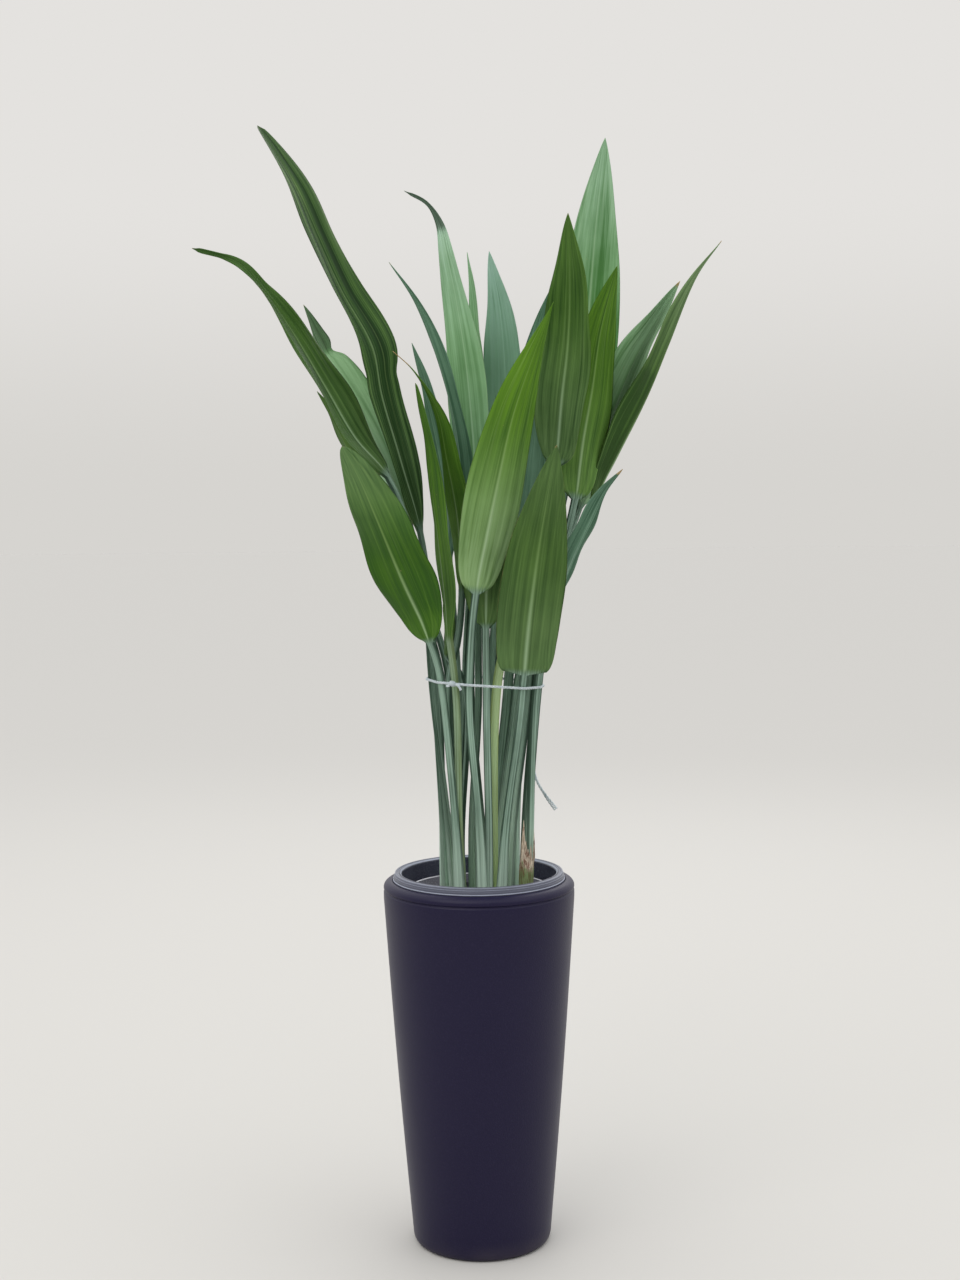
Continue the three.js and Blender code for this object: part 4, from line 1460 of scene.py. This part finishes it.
@dataclass(frozen=True)
class PottingSoil:
    """The heap of potting mix, crumbled on top. Millimetres."""

    finish: PottingMix = PottingMix()
    top: float = 447.0
    edge_radius: float = 78.6
    crown: float = 3.0
    depth: float = 150.0
    base_radius: float = 68.0
    sides: int = 120
    swell: float = 4.0
    crumb_density: float = 42000.0
    crumb_size: float = 2.2
    crumb_least: Point = (0.25, 0.2, 0.15)
    crumb_most: Point = (1.3, 0.8, 0.5)
    crumb_tilt: Point = (0.6, 0.6, 6.3)
    seed: int = 5

    def profile(self) -> list[tuple[float, float]]:
        """The plug of soil from its bottom to its crown.

        Returns:
            Radius and height of each point of the profile, in millimetres.
        """
        base = self.top - self.depth
        return [(0, base), (self.base_radius, base), (self.edge_radius - 2, self.top - 30),
                (self.edge_radius, self.top - 1),
                *[(radius, self.height_at(radius)) for radius in np.linspace(self.edge_radius - 1, 2, 40)],
                (0, self.height_at(0))]

    def height_at(self, radius: float) -> float:
        """The height of the smooth heap at a distance from the middle."""
        share = float(np.interp(radius, [30, 60, self.edge_radius], [1, 0.6, 0]))
        return self.top - 1.5 + self.crown * share

    def tree(self) -> GrowthTree:
        """Builds the tree that roughens the top of the plug and strews crumbs over it.

        Returns:
            The tree.
        """
        tree = GrowthTree("crumble", {"Top": 0.44, "Density": 30000.0, "Crumb": 0.002, "Seed": 1})
        place = tree.arrow(tree.node("GeometryNodeInputPosition"))
        on_top = place.parts()[2].above(tree.given("Top"))
        swell = (tree.noise(place, 90.0, 3.0) - 0.5) * (self.swell * MM) * on_top
        rough = tree.move(tree.start(), Offset=tree.vector(0.0, 0.0, swell))
        scatter = tree.node("GeometryNodeDistributePointsOnFaces", NONE, {
            "Mesh": rough, "Selection": on_top, "Density": tree.given("Density"),
            "Seed": tree.given("Seed")})
        crumb = tree.node("GeometryNodeMeshIcoSphere", NONE, {
            "Radius": tree.given("Crumb"), "Subdivisions": 1})
        size = tree.node("FunctionNodeRandomValue", {"data_type": "FLOAT_VECTOR"}, {
            "Min": self.crumb_least, "Max": self.crumb_most, "Seed": tree.given("Seed")})
        turn = tree.node("FunctionNodeRandomValue", {"data_type": "FLOAT_VECTOR"}, {
            "Max": self.crumb_tilt, "Seed": tree.given("Seed")})
        spun = tree.node("FunctionNodeEulerToRotation", NONE, {0: turn.outputs[0]})
        strewn = tree.node("GeometryNodeInstanceOnPoints", NONE, {
            "Points": scatter.outputs["Points"], "Instance": crumb.outputs["Mesh"],
            "Rotation": spun.outputs[0], "Scale": size.outputs[0]})
        both = tree.node("GeometryNodeJoinGeometry")
        tree.feed(both.inputs[0], strewn.outputs[0])
        tree.feed(both.inputs[0], rough)
        tree.end(both.outputs[0])
        return tree

    def build(self, turning: GrowthTree) -> bpy.types.Object:
        """Turns the plug, crumbles its top and puts it in the grower's pot.

        Args:
            turning: the tree that turns a profile.

        Returns:
            The soil.
        """
        profile = self.profile()
        skin = self.finish.material()
        plug = turning.grow("plug", outline("soil", profile), skin,
                            {"Rows": len(profile), "Sides": self.sides})
        piece = self.tree().grow("soil_skin", plug.data, skin, {
            "Top": (self.top - 4) * MM, "Density": self.crumb_density, "Crumb": self.crumb_size * MM,
            "Seed": self.seed})
        bpy.data.objects.remove(plug)
        return put_on(piece, "soil", "soil")


# ------------------------------------------------------------------ string and dried sheath


@dataclass(frozen=True)
class Tie:
    """The string round the stalks, with its knot at the front and a loose end behind. Millimetres."""

    finish: Twine = Twine()
    line: TieLine = TieLine()
    reach: float = 5.95
    strand: float = 0.9
    strand_sides: int = 10
    plies: int = 3
    fray: float = 1.4
    lay: float = 15.0
    step: float = 0.6
    tail_diameter: float = 2.4
    tail_route: Sequence[Point] = ((70.4, 38.4, 735.9), (72.5, 43.5, 715), (73, 47, 680), (73, 45, 640),
                                   (77, 42, 608), (89, 39, 586), (103, 36, 567))
    knot_start: Point = (-34.0, -51.5, 0.0)
    knot_step: Point = (1.9, -0.53, 0.0)
    knot_turns: float = 3.0
    knot_radius: float = 2.1
    knot_ends: Sequence[Point] = ((-39.0, -52.4, -3.6), (-36.0, -53.0, -2.6))
    knot_tail: Sequence[Point] = ((-26.0, -56.6, -0.4), (-22.5, -58.0, -3.2), (-20.5, -58.4, -7.0))

    def loop(self, leaves: Sequence[Leaf]) -> list[Point]:
        """The string's way round the outermost stalks.

        Args:
            leaves: the leaves whose stalks it holds.

        Returns:
            The points of the loop.
        """
        ties = np.array([leaf.tie for leaf in leaves], float)
        points = []
        for angle in np.linspace(0, 2 * math.pi, 180, endpoint=False):
            out = np.array([math.cos(angle), math.sin(angle)])
            x, y = ties[np.argmax(ties @ out)] + self.reach * out
            points.append((x * MM, y * MM, self.line.level(x) * MM))
        return points

    def knot(self) -> np.ndarray:
        """The string's way round itself in the knot, with both short ends.

        Returns:
            The points of its way, in metres, one row each.
        """
        turns = []
        for t in np.arange(0, self.knot_turns, 0.125):
            x, y, _ = (start + step * t for start, step in zip(self.knot_start, self.knot_step))
            angle = 2 * math.pi * t
            turns.append((x, y + self.knot_radius * math.cos(angle), self.knot_radius * math.sin(angle)))
        path = smooth_path([*self.knot_ends, *turns, *self.knot_tail], 6)
        path[:, 2] += [self.line.level(x) for x in path[:, 0]]
        return path * MM

    def laid(self, fray: float = 0.0) -> dict[str, float]:
        """Gives the tree's inputs in metres.

        Args:
            fray: how far the strands spread at the far end, in millimetres.

        Returns:
            The value of each input by its name.
        """
        lengths = {"Strand": self.strand, "Spread": self.strand, "Lay": self.lay, "Fray": fray,
                   "Step": self.step}
        return {name: length * MM for name, length in lengths.items()}

    def tree(self) -> GrowthTree:
        """Builds the tree that lays strands up into a string along a line.

        Returns:
            The tree.
        """
        tree = GrowthTree("lay_string", self.laid())
        curve = tree.through("GeometryNodeMeshToCurve", tree.start())
        curve = tree.through("GeometryNodeResampleCurve", curve, {"mode": "LENGTH"},
                             {"Length": tree.given("Step")})
        join = tree.node("GeometryNodeJoinGeometry")
        along = tree.node("GeometryNodeSplineParameter")
        share, length = tree.number(along, "Factor"), tree.number(along, "Length")
        normal = tree.arrow(tree.node("GeometryNodeInputNormal"))
        tangent = tree.arrow(tree.node("GeometryNodeInputTangent"))
        sideways = tangent.cross(normal)
        loose = share.ease(0.8, 1.0) * tree.given("Fray") + tree.given("Spread")
        for ply in range(self.plies):
            angle = length * (2 * math.pi) / tree.given("Lay") + ply * (2 * math.pi / self.plies)
            shift = normal * (angle.cos() * loose) + sideways * (angle.sin() * loose)
            ring = tree.node("GeometryNodeCurvePrimitiveCircle", NONE, {
                "Resolution": self.strand_sides, "Radius": tree.given("Strand")})
            tube = tree.node("GeometryNodeCurveToMesh", NONE, {
                "Curve": tree.move(curve, Offset=shift), "Profile Curve": ring.outputs[0],
                "Fill Caps": True})
            tree.feed(join.inputs[0], tube.outputs[0])
        tree.end(join.outputs[0])
        return tree

    def build(self, leaves: Sequence[Leaf]) -> list[bpy.types.Object]:
        """Lays the loop with its knot, and the loose end.

        Args:
            leaves: the leaves whose stalks the string holds.

        Returns:
            The band and the loose end.
        """
        tree, skin = self.tree(), self.finish.material()
        tail_path = smooth_path(self.tail_route, 12) * MM
        tail = tree.grow("tie_tail_string", polyline("tail", tail_path), skin, self.laid(self.fray))
        put_on(tail, "string", "tie_tail")

        loop = tree.grow("loop", polyline("loop", self.loop(leaves), closed=True), skin, self.laid())
        knot = tree.grow("knot", polyline("knot", self.knot()), skin, self.laid())
        return [tail, put_on(joined("tie_band_string", [loop, knot]), "string", "tie_band")]


def joined(name: str, pieces: Sequence[bpy.types.Object]) -> bpy.types.Object:
    """Joins mesh objects into one.

    Args:
        name: the name of the result.
        pieces: the objects, which are used up.

    Returns:
        The joined object.
    """
    with bpy.context.temp_override(active_object=pieces[0], selected_editable_objects=list(pieces)):
        bpy.ops.object.join()
    pieces[0].name = name
    return pieces[0]


@dataclass(frozen=True)
class DriedSheath:
    """The papery scale that stands torn round the foot of an outer stalk. Millimetres."""

    finish: DryScale = DryScale()
    centre: tuple[float, float] = (60.5, -29.0)
    radius: float = 9.4
    start: float = -170.0
    stop: float = 10.0
    base: float = 448.0
    height: float = 99.0
    narrowing: float = 0.4
    lean: float = 1.5
    thickness: float = 0.35
    columns: int = 70
    rows: int = 70
    torn_top: Sequence[tuple[float, float]] = (
        (0.0, 0.7), (0.08, 0.86), (0.13, 0.98), (0.19, 1.1), (0.235, 1.22), (0.27, 1.05), (0.32, 0.9),
        (0.38, 0.93), (0.44, 0.78), (0.5, 0.82), (0.56, 0.7), (0.62, 0.78), (0.67, 0.88), (0.72, 0.7),
        (0.8, 0.66), (0.88, 0.9), (0.93, 1.06), (0.97, 0.88), (1.0, 0.7))

    def point(self, across: float, up: float) -> Point:
        """A point of the scale.

        Args:
            across: from 0 at one edge to 1 at the other.
            up: from 0 at the foot to 1 at the torn top.

        Returns:
            The point, in metres.
        """
        top = float(np.interp(across, *zip(*self.torn_top))) + 0.012 * math.sin(150 * across)
        spread = 0.5 + (across - 0.5) * (1 - self.narrowing * up * up)
        angle = math.radians(self.start + (self.stop - self.start) * spread)
        crumple = math.sin(23 * across + 5 * up) * 0.5 + math.sin(11 * across - 9 * up) * 0.5
        curl = 3.0 * max(0.0, up - 0.7) * abs(math.sin(9 * across + 1)) + 1.6 * up ** 3
        radius = self.radius + crumple * 0.7 * up + curl
        return ((self.centre[0] + radius * math.cos(angle) + self.lean * up) * MM,
                (self.centre[1] + radius * math.sin(angle)) * MM,
                (self.base + self.height * up * (1 + (top - 1) * up * up)) * MM)

    def build(self) -> bpy.types.Object:
        """Makes the thin torn scale.

        Returns:
            The scale.
        """
        mesh = bpy.data.meshes.new("dried_sheath_scale")
        shares = [(i / self.columns, j / self.rows)
                  for j in range(self.rows + 1) for i in range(self.columns + 1)]
        wide = self.columns + 1
        faces = [(j * wide + i, j * wide + i + 1, (j + 1) * wide + i + 1, (j + 1) * wide + i)
                 for j in range(self.rows) for i in range(self.columns)]
        mesh.from_pydata([self.point(*share) for share in shares], [], faces)
        marks = mesh.attributes.new("scale_share", "FLOAT_VECTOR", "POINT")
        marks.data.foreach_set("vector", np.array([(*share, 0.0) for share in shares]).ravel())
        mesh.materials.append(self.finish.material())
        mesh.shade_smooth()
        piece = in_scene("dried_sheath_scale", mesh)
        solid = piece.modifiers.new("thickness", "SOLIDIFY")
        solid.thickness = self.thickness * MM
        solid.offset = 0.0
        return put_on(piece, "dried_sheath", "dried_sheath")


# ------------------------------------------------------------------ camera, floor and light


@dataclass(frozen=True)
class Camera:
    """The camera in front of the plant, a little above its middle and tipped down. Metres and radians."""

    place: Point = (0.0044, -2.396, 0.986)
    tip: float = 0.079
    roll: float = -0.0097
    lens: float = 52.03
    sensor: float = 36.0

    def build(self) -> bpy.types.Object:
        """Makes the scene's camera.

        Returns:
            The camera.
        """
        camera = in_scene("camera", bpy.data.cameras.new("camera"))
        camera.data.lens = self.lens
        camera.data.sensor_width = self.sensor
        turn = Matrix.Rotation(math.pi / 2 - self.tip, 4, "X") @ Matrix.Rotation(self.roll, 4, "Z")
        camera.matrix_world = Matrix.Translation(self.place) @ turn
        bpy.context.scene.camera = camera
        return camera


@dataclass(frozen=True)
class Softbox:
    """A square lamp with a soft edge, aimed at a point. Metres and watts."""

    name: str
    place: Point
    aim: Point
    size: float
    power: float
    colour: Colour = (1.0, 1.0, 1.0)

    def build(self) -> bpy.types.Object:
        """Hangs the lamp.

        Returns:
            The lamp.
        """
        lamp = bpy.data.lights.new(self.name, "AREA")
        lamp.size = self.size
        lamp.energy = self.power
        lamp.color = self.colour
        box = in_scene(self.name, lamp)
        turn = (Vector(self.aim) - Vector(self.place)).to_track_quat("-Z", "Y")
        box.matrix_world = Matrix.Translation(self.place) @ turn.to_matrix().to_4x4()
        return box


@dataclass(frozen=True)
class Studio:
    """A plain pale floor under a pale sky, lit softly from above."""

    floor_size: float = 60.0
    floor_colour: Colour = srgb(206, 204, 200)
    backdrop: Colour = srgb(228, 226, 223)
    horizon: Colour = srgb(214, 212, 208)
    overhead: float = 1.2
    behind: float = 0.85
    before: float = 0.28
    lamps: Sequence[Softbox] = (
        Softbox("key", (-1.6, -2.2, 3.4), (0, 0, 0.8), 2.6, 30.0, (1.0, 0.98, 0.95)),
        Softbox("fill", (2.6, -1.4, 2.2), (0, 0, 0.8), 2.4, 8.0, (0.95, 0.98, 1.0)),
        Softbox("back", (0.4, 2.6, 2.8), (0, 0, 0.9), 2.4, 16.0),
    )

    def floor(self) -> bpy.types.Object:
        """Lays the floor.

        Returns:
            The floor.
        """
        half = self.floor_size / 2
        mesh = bpy.data.meshes.new("floor")
        corners = [(-half, -half, 0), (half, -half, 0), (half, half, 0), (-half, half, 0)]
        mesh.from_pydata(corners, [], [range(4)])
        coat = Coating("pale_floor", Specular_IOR_Level=0.1, Roughness=0.95)
        coat.shader.inputs["Base Color"].default_value = (*self.floor_colour, 1.0)
        mesh.materials.append(coat.material)
        floor = in_scene("floor", mesh)
        return floor

    def sky(self) -> bpy.types.World:
        """Makes a pale backdrop that lights brightly from above, and dimly from the front.

        Returns:
            The sky.
        """
        world = bpy.data.worlds.new("pale_sky")
        world.use_nodes = True
        tree = Tree(world.node_tree)
        _, y, z = tree.arrow(tree.node("ShaderNodeTexCoord"), "Generated").parts()
        height = z.ease(0.0, 0.85)
        around = (y * 0.5 + 0.5).ease(0.15, 0.75)
        light = height.blend(around.blend(self.before, self.behind), self.overhead)
        seen = tree.number(tree.node("ShaderNodeLightPath"), "Is Camera Ray")
        background = next(n for n in world.node_tree.nodes if n.type == "BACKGROUND")
        pale = z.ease(0.0, 0.16).tint(self.horizon, self.backdrop)
        tree.feed(background.inputs["Color"], seen.tint((1.0, 1.0, 1.0), pale))
        tree.feed(background.inputs["Strength"], seen.blend(light, 1.0))
        bpy.context.scene.world = world
        return world

    def build(self) -> None:
        """Lays the floor, opens the sky and hangs the lamps."""
        self.floor()
        self.sky()
        for lamp in self.lamps:
            lamp.build()
        bpy.context.scene.view_settings.view_transform = "Standard"


def main() -> None:
    """Builds the camera, the string, the plant, its pots and the studio."""
    logging.basicConfig(level=logging.INFO, format="%(name)s: %(message)s")
    Camera().build()
    Tie().build(LEAVES)
    LeafClump().build()
    turning = turning_tree()
    Pots().build(turning)
    PottingSoil().build(turning)
    DriedSheath().build()
    Studio().build()


if __name__ == "__main__":
    main()
